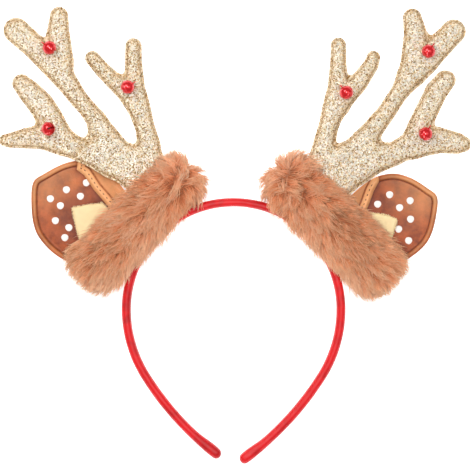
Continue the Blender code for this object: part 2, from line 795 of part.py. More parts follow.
class Cuff:
    """One fur cuff: the roll's surface as a function of run and turn, and its locks."""

    def __init__(self, side, angle, radius, turn, long, wide):
        angle, turn = math.radians(angle), math.radians(turn)
        self.side = side
        self.centre = radius * CROWN_RADIUS * np.array([side * math.sin(angle), math.cos(angle)])
        self.down = np.array([side * math.cos(turn), -math.sin(turn)])
        self.out = np.array([side * math.sin(turn), math.cos(turn)])
        self.half = CUFF_WIDTH * wide / 2
        self.length = CUFF_LENGTH * long + 2 * self.half
        self.rise = CUFF_HEIGHT / 2
        self.z = self.rise - CUFF_FLAT

    def surface(self, run, turn):
        """The point at a run along the roll from its crown end and a turn round it from outward."""
        run, turn = np.broadcast_arrays(np.asarray(run, float), np.asarray(turn, float))
        run = np.clip(run, 0.002 * self.length, 0.998 * self.length)
        near = np.minimum(run, self.length - run)
        size = np.clip(1 - np.clip(1 - near / self.half, 0, 1) ** 2.6, 0, 1) ** (1 / 2.2)
        axis = self.centre + (run[..., None] - self.length / 2) * self.down
        flat = axis + (self.half * size * np.cos(turn))[..., None] * self.out
        return np.concatenate([flat, (self.z + self.rise * size * np.sin(turn))[..., None]], -1)

    def normal(self, run, turn):
        """The outward direction of the surface there."""
        d_run, d_turn = 0.02 * self.length, 0.05
        a = self.surface(run + d_run, turn) - self.surface(run - d_run, turn)
        b = self.surface(run, turn + d_turn) - self.surface(run, turn - d_turn)
        n = np.cross(b, a) * self.side
        n /= np.linalg.norm(n, axis=-1, keepdims=True)
        return n

    def backing(self, name, finish=None, rings=18, sides=16):
        """The roll under the locks."""
        near = 0.5 * (1 - np.cos(np.linspace(0, np.pi, rings + 2)))[1:-1]
        near = 0.45 * near + 0.55 * np.linspace(0, 1, rings + 2)[1:-1]
        turn = 2 * np.pi * (np.arange(sides) + 0.5) / sides
        grid = self.surface(near[:, None] * self.length, turn[None])
        poles = self.surface(np.array([0.0, self.length]), np.array([0.0, 0.0]))
        vertices = np.concatenate([grid.reshape(-1, 3), poles])
        faces = []
        for r in range(rings - 1):
            for k in range(sides):
                m = (k + 1) % sides
                faces.append((r * sides + k, r * sides + m, (r + 1) * sides + m, (r + 1) * sides + k))
        first, last = rings * sides, rings * sides + 1
        for k in range(sides):
            m = (k + 1) % sides
            faces.append((first, m, k))
            faces.append((last, (rings - 1) * sides + k, (rings - 1) * sides + m))
        return new_object(name, vertices, faces, finish)

    def locks(self, name):
        """Tapered locks that run from the crown end's whorl down the roll."""
        vertices, faces = [], []
        rows = int(self.length / LOCK_SPACING)
        whorl = 0.17 * self.length
        for row in range(rows):
            start = (row + 0.35) * self.length / rows
            round_end = math.sin(math.pi * min(max(start / self.length, 0.08), 0.92))
            count = max(int(5 + 3 * round_end), 4)
            for k in range(count):
                lean = (k + 0.5 + 0.5 * (row % 2)) / (count + 0.5)
                turn = math.radians(-28 + 226 * lean)
                swing = 0.33 * math.sin(3.1 * row + 1.7 * k)
                way = 1.0 if start > whorl else -1.0
                grow = 1 + 0.16 * math.sin(1.3 * row + 2.9 * k)
                t = np.linspace(0, 1, 4)
                run = start + way * LOCK_LENGTH * grow * t
                around = turn + (swing + 0.25 * math.cos(turn) * -1) * t * LOCK_LENGTH / self.half
                spine = self.surface(run, around)
                normal = self.normal(np.clip(run, 0.06 * self.length, 0.94 * self.length), around)
                out = np.sign(((spine - np.append(self.centre, self.z)) * normal).sum(1))
                normal = normal * out[:, None]
                spine = spine + normal * (LOCK_LIFT * (1.15 * t ** 1.4 - 0.35))[:, None]
                along = np.gradient(spine, axis=0)
                along /= np.linalg.norm(along, axis=1, keepdims=True)
                cross = np.cross(along, normal)
                cross /= np.linalg.norm(cross, axis=1, keepdims=True)
                lift = np.cross(cross, along)
                radius = LOCK_WIDTH / 2 * np.array([0.75, 1.0, 0.72, 0.0]) * grow
                start_index = len(vertices)
                ring = 2 * np.pi * np.arange(5) / 5 + 0.3
                for s in range(3):
                    for a in ring:
                        off = math.cos(a) * cross[s] + 0.62 * math.sin(a) * lift[s]
                        vertices.append(spine[s] + radius[s] * off)
                vertices.append(spine[3])
                faces.append(tuple(start_index + m for m in range(5)))
                for s in range(2):
                    for m in range(5):
                        n = (m + 1) % 5
                        base = start_index + 5 * s
                        faces.append((base + m, base + n, base + 5 + n, base + 5 + m))
                last = start_index + 10
                for m in range(5):
                    faces.append((last + m, last + (m + 1) % 5, last + 5))
        return new_object(name, vertices, faces)


# The bells


def bell_mesh():
    """A jingle bell about its own middle, with its sewing loop on +Z and its slot at -Z."""
    def sphere(name, radius, around, up):
        ball = bmesh.new()
        bmesh.ops.create_uvsphere(ball, u_segments=around, v_segments=up, radius=radius)
        mesh = bpy.data.meshes.new(name)
        ball.to_mesh(mesh)
        ball.free()
        made = bpy.data.objects.new(name, mesh)
        bpy.context.scene.collection.objects.link(made)
        return made

    def box(name, size, centre):
        block = bmesh.new()
        bmesh.ops.create_cube(block, size=1.0)
        bmesh.ops.scale(block, vec=Vector(size), verts=block.verts)
        bmesh.ops.translate(block, vec=Vector(centre), verts=block.verts)
        mesh = bpy.data.meshes.new(name)
        block.to_mesh(mesh)
        block.free()
        made = bpy.data.objects.new(name, mesh)
        bpy.context.scene.collection.objects.link(made)
        return made

    radius = BELL_DIAMETER / 2
    bell = sphere("bell", radius, 10, 5)
    ring, wire = (BELL_LOOP_DIAMETER - BELL_LOOP_WIRE) / 2, BELL_LOOP_WIRE / 2
    around, about = 6, 3
    u = 2 * np.pi * np.arange(around) / around
    v = 2 * np.pi * np.arange(about) / about
    uu, vv = np.meshgrid(u, v, indexing="ij")
    torus = np.stack([(ring + wire * np.cos(vv)) * np.cos(uu), wire * np.sin(vv),
                      (ring + wire * np.cos(vv)) * np.sin(uu) + radius + ring - 0.4 * wire], -1)
    corner = [[(a % around) * about + b % about for b in range(about + 1)] for a in range(around + 1)]
    faces = [(corner[a][b], corner[a + 1][b], corner[a + 1][b + 1], corner[a][b + 1])
             for a in range(around) for b in range(about)]
    loop = as_cutter(new_object("bell_loop", torus.reshape(-1, 3), faces))
    boolean(bell, loop, 'UNION')
    boolean(bell, as_cutter(sphere("bell_hollow", radius - BELL_WALL, 8, 4)))
    depth = 0.62 * radius
    reach = 0.86 * BELL_DIAMETER
    for name, size in (("slot_a", (reach, BELL_SLOT, radius)), ("slot_b", (BELL_SLOT, reach, radius))):
        boolean(bell, as_cutter(box(name, size, (0, 0, -depth - radius / 2 + 0.25 * radius))))
    settle(bell)
    mesh = bell.data
    bpy.data.objects.remove(bell)
    mesh.materials.clear()
    mesh.materials.append(material("bell_red"))
    return mesh


def place_bell(name, mesh, antler, out, up, heading, tilt):
    """A bell on its antler, tilted towards its sewing loop and just clear of the cloth."""
    seat = antler.root + ANTLER_HEIGHT * np.array([antler.side * out, up])
    heading, tilt = math.radians(heading), math.radians(tilt)
    loop = Vector((math.cos(heading) * math.cos(tilt), math.sin(heading) * math.cos(tilt),
                   -math.sin(tilt)))
    bell = bpy.data.objects.new(name, mesh)
    bpy.context.scene.collection.objects.link(bell)
    bell.rotation_euler = loop.to_track_quat('Z', 'X').to_euler()
    turned = bell.rotation_euler.to_matrix()
    corners = np.array([turned @ v.co for v in mesh.vertices])
    over = corners[:, :2] + seat
    z = (antler.top(over) - corners[:, 2]).max() + CLEARANCE
    bell.location = (*seat, z)
    pellet = bmesh.new()
    bmesh.ops.create_icosphere(pellet, subdivisions=1, radius=PELLET_DIAMETER / 2)
    ball = bpy.data.meshes.new(name.replace("bell", "pellet"))
    pellet.to_mesh(ball)
    pellet.free()
    ball.materials.append(material("steel"))
    loose = bpy.data.objects.new(name.replace("bell", "pellet"), ball)
    bpy.context.scene.collection.objects.link(loose)
    drop = BELL_DIAMETER / 2 - BELL_WALL - PELLET_DIAMETER / 2 - 2 * CLEARANCE
    loose.location = (*seat, z - drop)


def merge_locks(fur):
    """Fuses the locks and the roll into one even skin, then coarsens it."""
    skin = fur.modifiers.new("skin", 'REMESH')
    skin.mode = 'VOXEL'
    skin.voxel_size = CUFF_CELL
    settle(fur)
    coarse = fur.modifiers.new("coarse", 'DECIMATE')
    coarse.ratio = CUFF_FACES / (2 * len(fur.data.polygons))
    settle(fur)


def keep_largest(target):
    """Drops the loose scraps that the gaps cut off a piece's edge."""
    shell = bmesh.new()
    shell.from_mesh(target.data)
    left, bodies = set(shell.faces), []
    while left:
        body, front = set(), [left.pop()]
        while front:
            face = front.pop()
            body.add(face)
            for edge in face.edges:
                for other in edge.link_faces:
                    if other in left:
                        left.discard(other)
                        front.append(other)
        bodies.append(body)
    largest = max(bodies, key=lambda body: sum(face.calc_area() for face in body))
    scraps = [face for face in shell.faces if face not in largest]
    bmesh.ops.delete(shell, geom=scraps, context='FACES')
    shell.to_mesh(target.data)
    shell.free()


def floor_cutter(name, reach, depth):
    """A slab whose top is the surface that the headband lies on."""
    vertices = [(sx * reach, sy * reach, z) for z in (-depth, 0.0)
                for sx, sy in ((-1, -1), (1, -1), (1, 1), (-1, 1))]
    faces = [(0, 1, 2, 3), (4, 5, 6, 7), (0, 1, 5, 4), (1, 2, 6, 5), (2, 3, 7, 6), (3, 0, 4, 7)]
    return as_cutter(new_object(name, vertices, faces))


def build():
    """Makes every piece in place."""
    for old in list(bpy.data.objects):
        bpy.data.objects.remove(old)
    band("band", finish="satin_red")
    bell = bell_mesh()
    for values in SIDES:
        row = dict(zip(SIDE_COLUMNS, values))
        side, sign = row["side"], row["sign"]
        left = sign < 0
        crease = None
        if left:
            root = seat_on_hoop(ANTLER_ANGLE, sign)
            crease = root + ANTLER_HEIGHT * np.array(LEFT_CREASE) * (sign, 1)
        antler = Antler(LEFT_LIMBS if left else RIGHT_LIMBS, sign, crease)
        ear = Ear(sign, row["ear_angle"], row["ear_turn"], row["ear_long"], row["ear_wide"],
                  LEFT_FLAP if left else RIGHT_FLAP, LEFT_PATCH if left else RIGHT_PATCH)
        cuff = Cuff(sign, row["cuff_angle"], row["cuff_radius"], row["cuff_turn"],
                    row["cuff_long"], row["cuff_wide"])

        gap = as_cutter(band("band_gap_" + side, grow=CLEARANCE))
        for piece in (antler.solid("antler_" + side, finish="glitter_gold"),
                      ear.solid("ear_" + side, finish="leather_brown")):
            boolean(piece, gap)
            graph = bpy.context.evaluated_depsgraph_get()
            mesh = bpy.data.meshes.new_from_object(piece.evaluated_get(graph))
            piece.modifiers.clear()
            piece.data = mesh
        ear.patch_solid("ear_patch_" + side, finish="felt_cream")

        fur = cuff.backing("fur_cuff_" + side, finish="fur_tan")
        boolean(fur, as_cutter(cuff.locks("locks_" + side)), 'UNION', self_crossing=True)
        merge_locks(fur)
        boolean(fur, floor_cutter("floor_" + side, 4 * CROWN_RADIUS, CUFF_HEIGHT))
        boolean(fur, gap)
        boolean(fur, as_cutter(antler.solid("antler_gap_" + side, grow=CLEARANCE)))
        boolean(fur, as_cutter(ear.solid("ear_gap_" + side, grow=CLEARANCE)))
        boolean(fur, as_cutter(ear.patch_solid("patch_gap_" + side, grow=CLEARANCE)))
        settle(fur)
        keep_largest(fur)

        for values in BELLS:
            row = dict(zip(BELL_COLUMNS, values))
            if row["side"] == side:
                place_bell(row["bell"], bell, antler, row["out"], row["up"], row["heading"], row["tilt"])


def centre_footprint():
    """Hangs every piece on one empty and moves it, so that the origin is under the middle."""
    bpy.context.view_layer.update()
    pieces = [piece for piece in bpy.data.objects if not piece.hide_render]
    corners = np.array([piece.matrix_world @ v.co for piece in pieces for v in piece.data.vertices])
    middle = (corners.min(0) + corners.max(0)) / 2
    headband = bpy.data.objects.new("headband", None)
    bpy.context.scene.collection.objects.link(headband)
    for piece in list(bpy.data.objects):
        if piece is not headband:
            piece.parent = headband
    headband.location = (-middle[0], -middle[1], 0)


if __name__ == "__main__":
    build()
    centre_footprint()
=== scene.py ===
import math

import bpy
import numpy as np
from bpy.props import FloatProperty, FloatVectorProperty, IntProperty, PointerProperty
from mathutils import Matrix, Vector


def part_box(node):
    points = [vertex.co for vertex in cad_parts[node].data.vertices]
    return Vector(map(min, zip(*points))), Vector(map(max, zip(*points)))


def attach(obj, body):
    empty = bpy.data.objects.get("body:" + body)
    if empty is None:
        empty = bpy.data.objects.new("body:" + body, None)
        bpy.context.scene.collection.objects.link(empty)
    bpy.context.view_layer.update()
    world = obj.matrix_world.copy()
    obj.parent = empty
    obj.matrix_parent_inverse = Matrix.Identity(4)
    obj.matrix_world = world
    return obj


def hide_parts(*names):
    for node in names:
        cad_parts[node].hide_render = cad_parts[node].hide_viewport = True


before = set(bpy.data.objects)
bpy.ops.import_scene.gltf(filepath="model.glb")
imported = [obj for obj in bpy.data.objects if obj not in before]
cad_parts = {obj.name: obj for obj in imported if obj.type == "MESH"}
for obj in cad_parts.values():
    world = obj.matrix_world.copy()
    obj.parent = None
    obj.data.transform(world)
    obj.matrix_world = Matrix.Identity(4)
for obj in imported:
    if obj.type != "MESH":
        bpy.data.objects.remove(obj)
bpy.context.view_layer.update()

bl_info = {
    "name": "Reindeer Antler Headband",
    "version": (1, 0, 0),
    "blender": (4, 5, 0),
    "location": "3D View > Sidebar > Headband",
    "description": "Makes the covered band, glitter antlers, leather ears, fur cuffs and bells",
    "category": "Add Mesh",
}

MM = 0.001
GAP = 0.3 * MM
BAND_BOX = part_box("band")

# Hoop: crown arc, side arc and arm, as (radius, sweep in degrees), and its heights.
CROWN_RADIUS = 64.4 * MM
SIDE_RADIUS, SIDE_SWEEP = 75.0 * MM, 32.0
ARM_RADIUS, ARM_SWEEPS = 180.0 * MM, (21.2, 22.8)
CROWN_Z, TIP_Z = 12.0 * MM, 4.2 * MM
BAND_STEP, BAND_AROUND = 0.9 * MM, 28
# The band's section is an oval of this power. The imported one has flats, so its box ends
# this share of the half thickness out.
SECTION_POWER = 0.85
FACET_SHARE = math.cos(math.radians(18)) ** 0.8

# Antlers: where they are sewn on, and the blend where limbs fork.
ANTLER_ANGLE = 32.0
ANTLER_ROOT_Z = 15.0 * MM
CROTCH_FILLET = 5.8 * MM

# Limbs: centre lines of (out, up, width), out from the seat and up as shares of the
# height, and the width there as a share of the tine width. In order: the beam, the
# tine at its top, the inner limb, its tine, the outer limb and its low tine.
LIMBS = {
    "left": (
        ((-0.003, 0.003, 1.30), (0.158, 0.215, 2.05), (0.324, 0.314, 1.80), (0.390, 0.428, 1.40),
         (0.422, 0.513, 0.96), (0.474, 0.578, 0.81), (0.526, 0.638, 0.85), (0.572, 0.704, 0.96),
         (0.619, 0.767, 1.10), (0.766, 0.919, 1.12), (0.864, 1.007, 1.18)),
        ((0.608, 0.843, 0.98), (0.635, 0.990, 1.06), (0.630, 1.086, 0.83)),
        ((0.149, 0.232, 1.75), (0.136, 0.379, 1.05), (0.160, 0.477, 0.90), (0.190, 0.576, 1.05),
         (0.215, 0.679, 0.95), (0.223, 0.843, 0.76), (0.223, 0.919, 0.74)),
        ((0.231, 0.636, 0.90), (0.390, 0.788, 0.72), (0.447, 0.854, 0.66)),
        ((0.346, 0.297, 1.40), (0.520, 0.355, 1.07), (0.613, 0.406, 1.16), (0.676, 0.521, 1.22),
         (0.729, 0.603, 1.21), (0.791, 0.671, 1.07), (0.834, 0.716, 0.86)),
        ((0.619, 0.398, 1.00), (0.739, 0.422, 1.08), (0.804, 0.418, 0.96), (0.891, 0.406, 0.69),
         (0.924, 0.405, 0.55)),
    ),
    "right": (
        ((-0.003, 0.003, 1.30), (0.180, 0.178, 2.40), (0.327, 0.286, 2.10), (0.387, 0.396, 1.25),
         (0.439, 0.469, 0.96), (0.510, 0.559, 0.84), (0.570, 0.652, 0.82), (0.630, 0.739, 1.04),
         (0.720, 0.827, 1.10), (0.810, 0.930, 1.15), (0.878, 1.001, 1.12)),
        ((0.638, 0.767, 0.95), (0.657, 0.897, 1.05), (0.671, 0.974, 1.12), (0.652, 1.075, 0.86)),
        ((0.158, 0.243, 1.60), (0.169, 0.390, 0.98), (0.194, 0.483, 0.92), (0.224, 0.581, 1.10),
         (0.245, 0.690, 0.95), (0.247, 0.832, 0.73), (0.248, 0.925, 0.69)),
        ((0.262, 0.608, 0.86), (0.355, 0.717, 0.87), (0.426, 0.816, 0.68), (0.439, 0.857, 0.62)),
        ((0.371, 0.292, 1.70), (0.551, 0.330, 1.10), (0.649, 0.390, 1.08), (0.698, 0.499, 1.08),
         (0.780, 0.666, 1.02), (0.835, 0.734, 0.90)),
        ((0.671, 0.374, 1.10), (0.797, 0.406, 1.20), (0.895, 0.390, 0.98), (0.927, 0.385, 0.75)),
    ),
}
CREASES = {"left": ((0.548, 0.319), (0.428, 0.428))}
CREASE_DEPTH, CREASE_WIDTH = 1.8 * MM, 1.5 * MM
SEAM_CLOTH, SEAM_DENT, SEAM_DENT_WIDTH = 0.62 * MM, 0.22 * MM, 0.45 * MM
STUFFING_SPREAD, STUFFING_ROUNDS = 4.0 * MM, 420
ANTLER_STITCH, ANTLER_THREAD = 2.6 * MM, 0.42 * MM
RESTING = 0.05 * MM

# Ears: outline, flap edge and patch as (along, across) shares of the ear's size.
EAR_ROOT_RADIUS = 70.7 * MM
EAR_ROOT_Z = 5.4 * MM
EAR_CUP = 3.2 * MM
HEM_STITCH_IN = 0.15 * MM
FLAP_GAP, PATCH_GAP = 0.35 * MM, 0.3 * MM
FELT_FIBRES = 900
EAR_OUTLINE = (
    (-0.085, -0.125), (0.120, -0.281), (0.342, -0.437), (0.547, -0.453), (0.735, -0.382),
    (0.849, -0.268), (0.950, -0.074), (1.003, 0.093), (0.957, 0.215), (0.846, 0.403),
    (0.709, 0.521), (0.530, 0.542), (0.291, 0.437), (0.068, 0.229), (-0.085, 0.135),
)
FLAPS = {
    "left": ((0.760, 0.540), (0.727, 0.419), (0.655, 0.406), (0.520, 0.316), (0.339, 0.231),
             (0.100, 0.130), (-0.120, 0.090)),
    "right": ((0.590, 0.580), (0.574, 0.504), (0.499, 0.419), (0.439, 0.325), (0.387, 0.252),
              (0.200, 0.150), (-0.120, 0.090)),
}
PATCHES = {
    "left": ((0.616, 0.044), (0.512, 0.140), (0.410, 0.225), (0.250, 0.150), (0.070, 0.060),
             (0.070, -0.100), (0.250, -0.240), (0.380, -0.263), (0.430, -0.213), (0.520, -0.098)),
    "right": ((0.607, 0.010), (0.540, 0.100), (0.380, 0.215), (0.230, 0.140), (0.070, 0.060),
              (0.070, -0.100), (0.250, -0.250), (0.420, -0.290), (0.469, -0.206),
              (0.550, -0.090)),
}
# Printed dots: their middles from the hoop's centre, in mm.
DOTS = {
    "left": ((-88.6, 76.2), (-100.6, 72.0), (-110.2, 66.6), (-92.2, 68.1), (-104.2, 62.4),
             (-107.2, 53.4), (-99.1, 49.2), (-101.5, 43.2), (-92.2, 39.6)),
    "right": ((93.8, 69.0), (106.1, 65.4), (86.6, 63.3), (99.8, 61.2), (106.4, 54.3),
              (99.2, 48.3), (105.2, 41.4)),
}

# The way out from the middle on each side. Ears: angle from the hoop's top, turn, and
# length and width against the usual. Cuffs: angle, radius against the crown's, turn,
# length and width.
SIGNS = {"left": -1, "right": 1}
EARS = {"left": (57.0, 27.5, 1.015, 1.020), "right": (57.0, 20.8, 0.980, 0.905)}
CUFFS = {"left": (47.5, 1.209, 46.0, 0.87, 1.00), "right": (49.4, 1.218, 45.5, 0.90, 1.04)}
CUFF_LENGTH, CUFF_WIDTH, CUFF_HEIGHT = 70.0 * MM, 37.0 * MM, 33.0 * MM
CUFF_FLAT, CUFF_CLOTH = 2.0 * MM, 0.6 * MM

# Fur: the area that tufts are counted for, the whorl's place on the roll, how far round
# the back begins (as a sine), and the shares of a strand's length where it has corners.
TUFT_AREA = 9600 * MM ** 2
WHORL_RUN, WHORL_TURN, WHORL_REACH = 0.13, math.radians(88), 9 * MM
BACK_SINE = -0.15
STRAND_SHARES = np.array([0.0, 0.4, 0.75, 1.0])
STRAND_TAPER = np.array([0.9, 1.0, 0.72])

# bell, side, out and up on the antler, the way its loop points and its tilt down
BELLS = (
    ("bell_left_upper", "left", 0.679, 0.908, 145.0, -25.0),
    ("bell_left_inner", "left", 0.253, 0.693, 33.0, -25.0),
    ("bell_left_outer", "left", 0.684, 0.466, 194.0, 40.0),
    ("bell_right_upper", "right", 0.737, 0.889, 54.0, -25.0),
    ("bell_right_inner", "right", 0.289, 0.663, 130.0, -25.0),
    ("bell_right_outer", "right", 0.720, 0.439, 60.0, -25.0),
)
PELLET_DIAMETER = 3.0 * MM

# Lights: name, place in metres, size in metres and power in watts.
LIGHTS = (
    ("key", (-0.5, 0.55, 1.0), 0.55, 7.0),
    ("front", (0.1, 0.15, 3.2), 0.8, 42.0),
    ("fill", (0.65, 0.1, 1.0), 0.6, 1.6),
    ("low_left", (-0.3, -0.9, 0.2), 0.14, 1.0),
    ("low_right", (0.25, -0.9, 0.2), 0.14, 1.0),
)
FLOOR_REACH, FLOOR_DROP, FLOOR_GLOW = 3.0, 0.1 * MM, 0.7
WORLD_STRENGTH = 0.28
SENSOR = 36.0


def srgb(code):
    """A colour written as RRGGBB, in the linear values that a shader takes."""
    part = np.array([int(code[k:k + 2], 16) for k in (0, 2, 4)]) / 255
    return tuple(np.where(part <= 0.04045, part / 12.92, ((part + 0.055) / 1.055) ** 2.4))


def size_property(name, description, default_mm, least_mm=0.05, most_mm=400.0):
    """A length that the user may change, in metres."""
    return FloatProperty(name=name, description=description, default=default_mm * MM,
                         min=least_mm * MM, max=most_mm * MM, unit='LENGTH')


def colour_property(name, description, code):
    """A colour that the user may change."""
    return FloatVectorProperty(name=name, description=description, default=srgb(code),
                               min=0.0, max=1.0, size=3, subtype='COLOR')


class BandSettings(bpy.types.PropertyGroup):
    thickness: size_property("Thickness", "Radial size of the covered band", 5.6)
    depth: size_property("Depth", "Size of the band from back to front", 8.0)
    colour: colour_property("Satin", "Colour of the satin cover", "E2131B")


class AntlerSettings(bpy.types.PropertyGroup):
    height: size_property("Height", "Height that the limb table is a share of", 110.0)
    tine: size_property("Tine width", "Width that the limb table is a share of", 12.7)
    seam: size_property("Seam", "Distance of the stitching from the cut edge", 1.3)
    stuffing: size_property("Stuffing", "How far the padding lifts each face", 4.2)
    cell: size_property("Cell", "Spacing of the mesh", 0.62)
    flake: size_property("Flake", "Size of a glitter flake", 0.72)
    # The pale and dark flake colours are painted glints and painted shade: flakes turned to and away
    # from the light.
    pale: colour_property("Pale glitter", "Colour of the brightest flakes", "FFF6E8")
    gold: colour_property("Gold glitter", "Colour of the middling flakes", "F1D3A2")
    dark: colour_property("Dark glitter", "Colour of the flakes turned away", "AE8046")


class EarSettings(bpy.types.PropertyGroup):
    length: size_property("Length", "Length that the outline is a share of", 70.0)
    width: size_property("Width", "Width that the outline is a share of", 57.6)
    leather: size_property("Leather", "Thickness of the imitation leather", 1.4)
    hem: size_property("Hem", "Width of the turned and stitched edge", 2.7)
    flap_hem: size_property("Flap hem", "Width of the flap's padded edge", 4.4)
    dot: size_property("Dot", "Radius of a printed dot", 2.25)
    cell: size_property("Cell", "Spacing of the mesh", 0.6)
    colour: colour_property("Leather", "Main colour of the leather", "AA5224")
    # The shaded and raised colours are painted shade and painted highlight.
    shade: colour_property("Shaded leather", "Colour in the folds", "843A1B")
    lift: colour_property("Raised leather", "Colour on the hems and the flap", "F6B57D")


class PatchSettings(bpy.types.PropertyGroup):
    felt: size_property("Felt", "Thickness of the felt", 1.5)
    cell: size_property("Cell", "Spacing of the mesh", 0.6)
    colour: colour_property("Felt", "Colour of the felt", "FFE6B2")


class FurSettings(bpy.types.PropertyGroup):
    pile: size_property("Pile", "Depth of the pile over the cloth that it grows from", 5.0)
    strand: size_property("Strand length", "Length of a strand", 15.0)
    width: size_property("Strand width", "Width of a strand at its root", 0.38)
    tuft: size_property("Tuft spacing", "Distance between tufts", 3.3)
    strands: IntProperty(name="Strands", description="Strands in each tuft", default=29, min=3, max=60)
    root: colour_property("Root", "Colour near the cloth", "F0905C")
    middle: colour_property("Middle", "Colour half way along a strand", "FFB888")
    tip: colour_property("Tip", "Colour at a strand's end", "FFD9B0")
    # The pale colour is painted highlight on the roll's inner side and ends, and also the random paler
    # strands.
    pale: colour_property("Pale", "Colour of the loose fluff at the edges", "FFD8B6")


class BellSettings(bpy.types.PropertyGroup):
    diameter: size_property("Diameter", "Outside diameter of a bell", 8.4)
    wall: size_property("Wall", "Thickness of the bell's sheet", 0.45)
    slot: size_property("Slot", "Width of the slots", 0.9)
    loop: size_property("Loop", "Outside diameter of the sewing loop", 2.8)
    wire: size_property("Wire", "Thickness of the loop's wire", 0.7)
    colour: colour_property("Paint", "Colour of the bells", "DC1A22")


class StageSettings(bpy.types.PropertyGroup):
    photo_width: size_property("Photo width", "Width that the picture covers", 282.0)
    distance: size_property("Distance", "Distance of the camera", 2600.0, 500.0, 9000.0)
    floor: colour_property("Floor", "Colour of the floor", "FAFAFA")


def settings(name):
    """One of the property groups."""
    return getattr(bpy.context.scene, "headband_" + name)


# Helpers: meshes from arrays


def array_mesh(name, corners, faces, uv=None):
    """A smooth mesh from an array of corners and arrays of triangles or quads."""
    mesh = bpy.data.meshes.new(name)
    parts = [np.asarray(part) for part in faces if len(part)]
    loops = np.concatenate([part.ravel() for part in parts]).astype(np.int32)
    sizes = np.concatenate([np.full(len(part), part.shape[1]) for part in parts])
    mesh.vertices.add(len(corners))
    mesh.vertices.foreach_set("co", np.asarray(corners, np.float32).ravel())
    mesh.loops.add(len(loops))
    mesh.loops.foreach_set("vertex_index", loops)
    mesh.polygons.add(len(sizes))
    starts = np.concatenate([[0], np.cumsum(sizes)[:-1]]).astype(np.int32)
    mesh.polygons.foreach_set("loop_start", starts)
    mesh.update(calc_edges=True)
    if uv is not None:
        layer = mesh.uv_layers.new(name="pattern")
        layer.data.foreach_set("uv", np.asarray(uv, np.float32)[loops].ravel())
    mesh.shade_smooth()
    return mesh


def placed(name, data):
    """An object for some data, in the scene."""
    made = bpy.data.objects.new(name, data)
    bpy.context.scene.collection.objects.link(made)
    return made


def piece(name, form, material, replaced=()):
    """An object for a mesh, or for its corners, faces and pattern, riding on the headband."""
    mesh = form if isinstance(form, bpy.types.Mesh) else array_mesh(name, *form)
    made = placed(name, mesh)
    mesh.materials.clear()
    mesh.materials.append(material)
    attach(made, "root")
    if replaced:
        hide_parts(*replaced)
    return made


def unit(vectors):
    """Vectors of length 1, along the last axis."""
    return vectors / np.maximum(np.linalg.norm(vectors, axis=-1, keepdims=True), 1e-12)


def circle(count):
    """Angles at even steps once round."""
    return 2 * np.pi * np.arange(count) / count


def tube_faces(rings, around, closed_ends=True):
    """Quads between rings of equal corner counts, and triangles to one corner past each end."""
    k = np.arange(around)
    r = np.arange(rings - 1)[:, None] * around
    quads = np.stack([r + k, r + (k + 1) % around,
                      r + around + (k + 1) % around, r + around + k], -1)
    quads = quads.reshape(-1, 4)
    if not closed_ends:
        return [quads]
    first, last = rings * around, rings * around + 1
    top = (rings - 1) * around
    caps = np.concatenate([np.stack([np.full(around, first), (k + 1) % around, k], 1),
                           np.stack([np.full(around, last), top + k, top + (k + 1) % around], 1)])
    return [quads, caps]


def many(faces, count, size):
    """One small shape's faces, for each of many shapes whose corners follow in rows of a size."""
    base = np.arange(count)[:, None, None] * size
    return [(part + base).reshape(-1, part.shape[1]) for part in faces]


def reversed_faces(faces):
    """The same faces turned the other way."""
    return [part[:, ::-1] for part in faces]


def lattice_noise(points, size, seed):
    """Smooth noise from -1 to 1: random values on a grid of a size, blended between."""
    table = np.random.default_rng(seed).uniform(-1, 1, (64,) * 3)
    points = np.asarray(points) / size + 1000.0
    if points.shape[-1] == 2:
        points = np.concatenate([points, np.zeros(points.shape[:-1] + (1,))], -1)
    whole = np.floor(points).astype(int)
    part = points - whole
    part = part * part * (3 - 2 * part)
    total = 0.0
    for i in (0, 1):
        for j in (0, 1):
            for k in (0, 1):
                weight = (np.abs(1 - i - part[..., 0]) * np.abs(1 - j - part[..., 1])
                          * np.abs(1 - k - part[..., 2]))
                total = total + weight * table[(whole[..., 0] + i) % 64, (whole[..., 1] + j) % 64,
                                               (whole[..., 2] + k) % 64]
    return total


def step_between(low, high, value):
    """0 below low, 1 above high and a smooth step between."""
    t = np.clip((value - low) / (high - low), 0, 1)
    return t * t * (3 - 2 * t)


def line_distance(points, line, closed=True):
    """Distance of each point to a line through given points."""
    a = np.asarray(line)
    b = np.roll(a, -1, 0)
    if not closed:
        a, b = a[:-1], b[:-1]
    ab = b - a
    rel = points[:, None, :] - a[None]
    t = np.clip((rel * ab).sum(2) / np.maximum((ab * ab).sum(1), 1e-18), 0, 1)
    return np.linalg.norm(rel - t[..., None] * ab, axis=2).min(1)


def within(points, loop):
    """Which points lie inside a closed line (even-odd rule)."""
    x, y = points[:, 0, None], points[:, 1, None]
    x0, y0 = loop[:, 0], loop[:, 1]
    x1, y1 = np.roll(x0, -1), np.roll(y0, -1)
    straddles = (y0 > y) != (y1 > y)
    rise = np.where(y1 == y0, 1e-12, y1 - y0)
    return (straddles & (x < x0 + (y - y0) * (x1 - x0) / rise)).sum(1) % 2 == 1


def closed_curve(points, per_span=8):
    """A smooth closed curve through the points (Catmull-Rom)."""
    p = np.asarray(points, float)
    a, b, c, d = (np.roll(p, shift, 0)[:, None, :] for shift in (1, 0, -1, -2))
    t = (np.arange(per_span) / per_span)[None, :, None]
    spans = 0.5 * (2 * b + (c - a) * t + (2 * a - 5 * b + 4 * c - d) * t ** 2
                   + (3 * b - a - 3 * c + d) * t ** 3)
    return spans.reshape(-1, 2)


def run_of(line):
    """Distance along a line at each of its points."""
    return np.concatenate([[0], np.cumsum(np.linalg.norm(np.diff(line, axis=0), axis=1))])


def at_run(at, run, rows):
    """Rows of values, at places between those that they were given for."""
    return np.stack([np.interp(at, run, column) for column in rows.T], 1)


def even_points(line, step):
    """Points at even steps along an open line."""
    line = np.asarray(line)
    run = run_of(line)
    return at_run(np.arange(step / 2, run[-1], step), run, line)


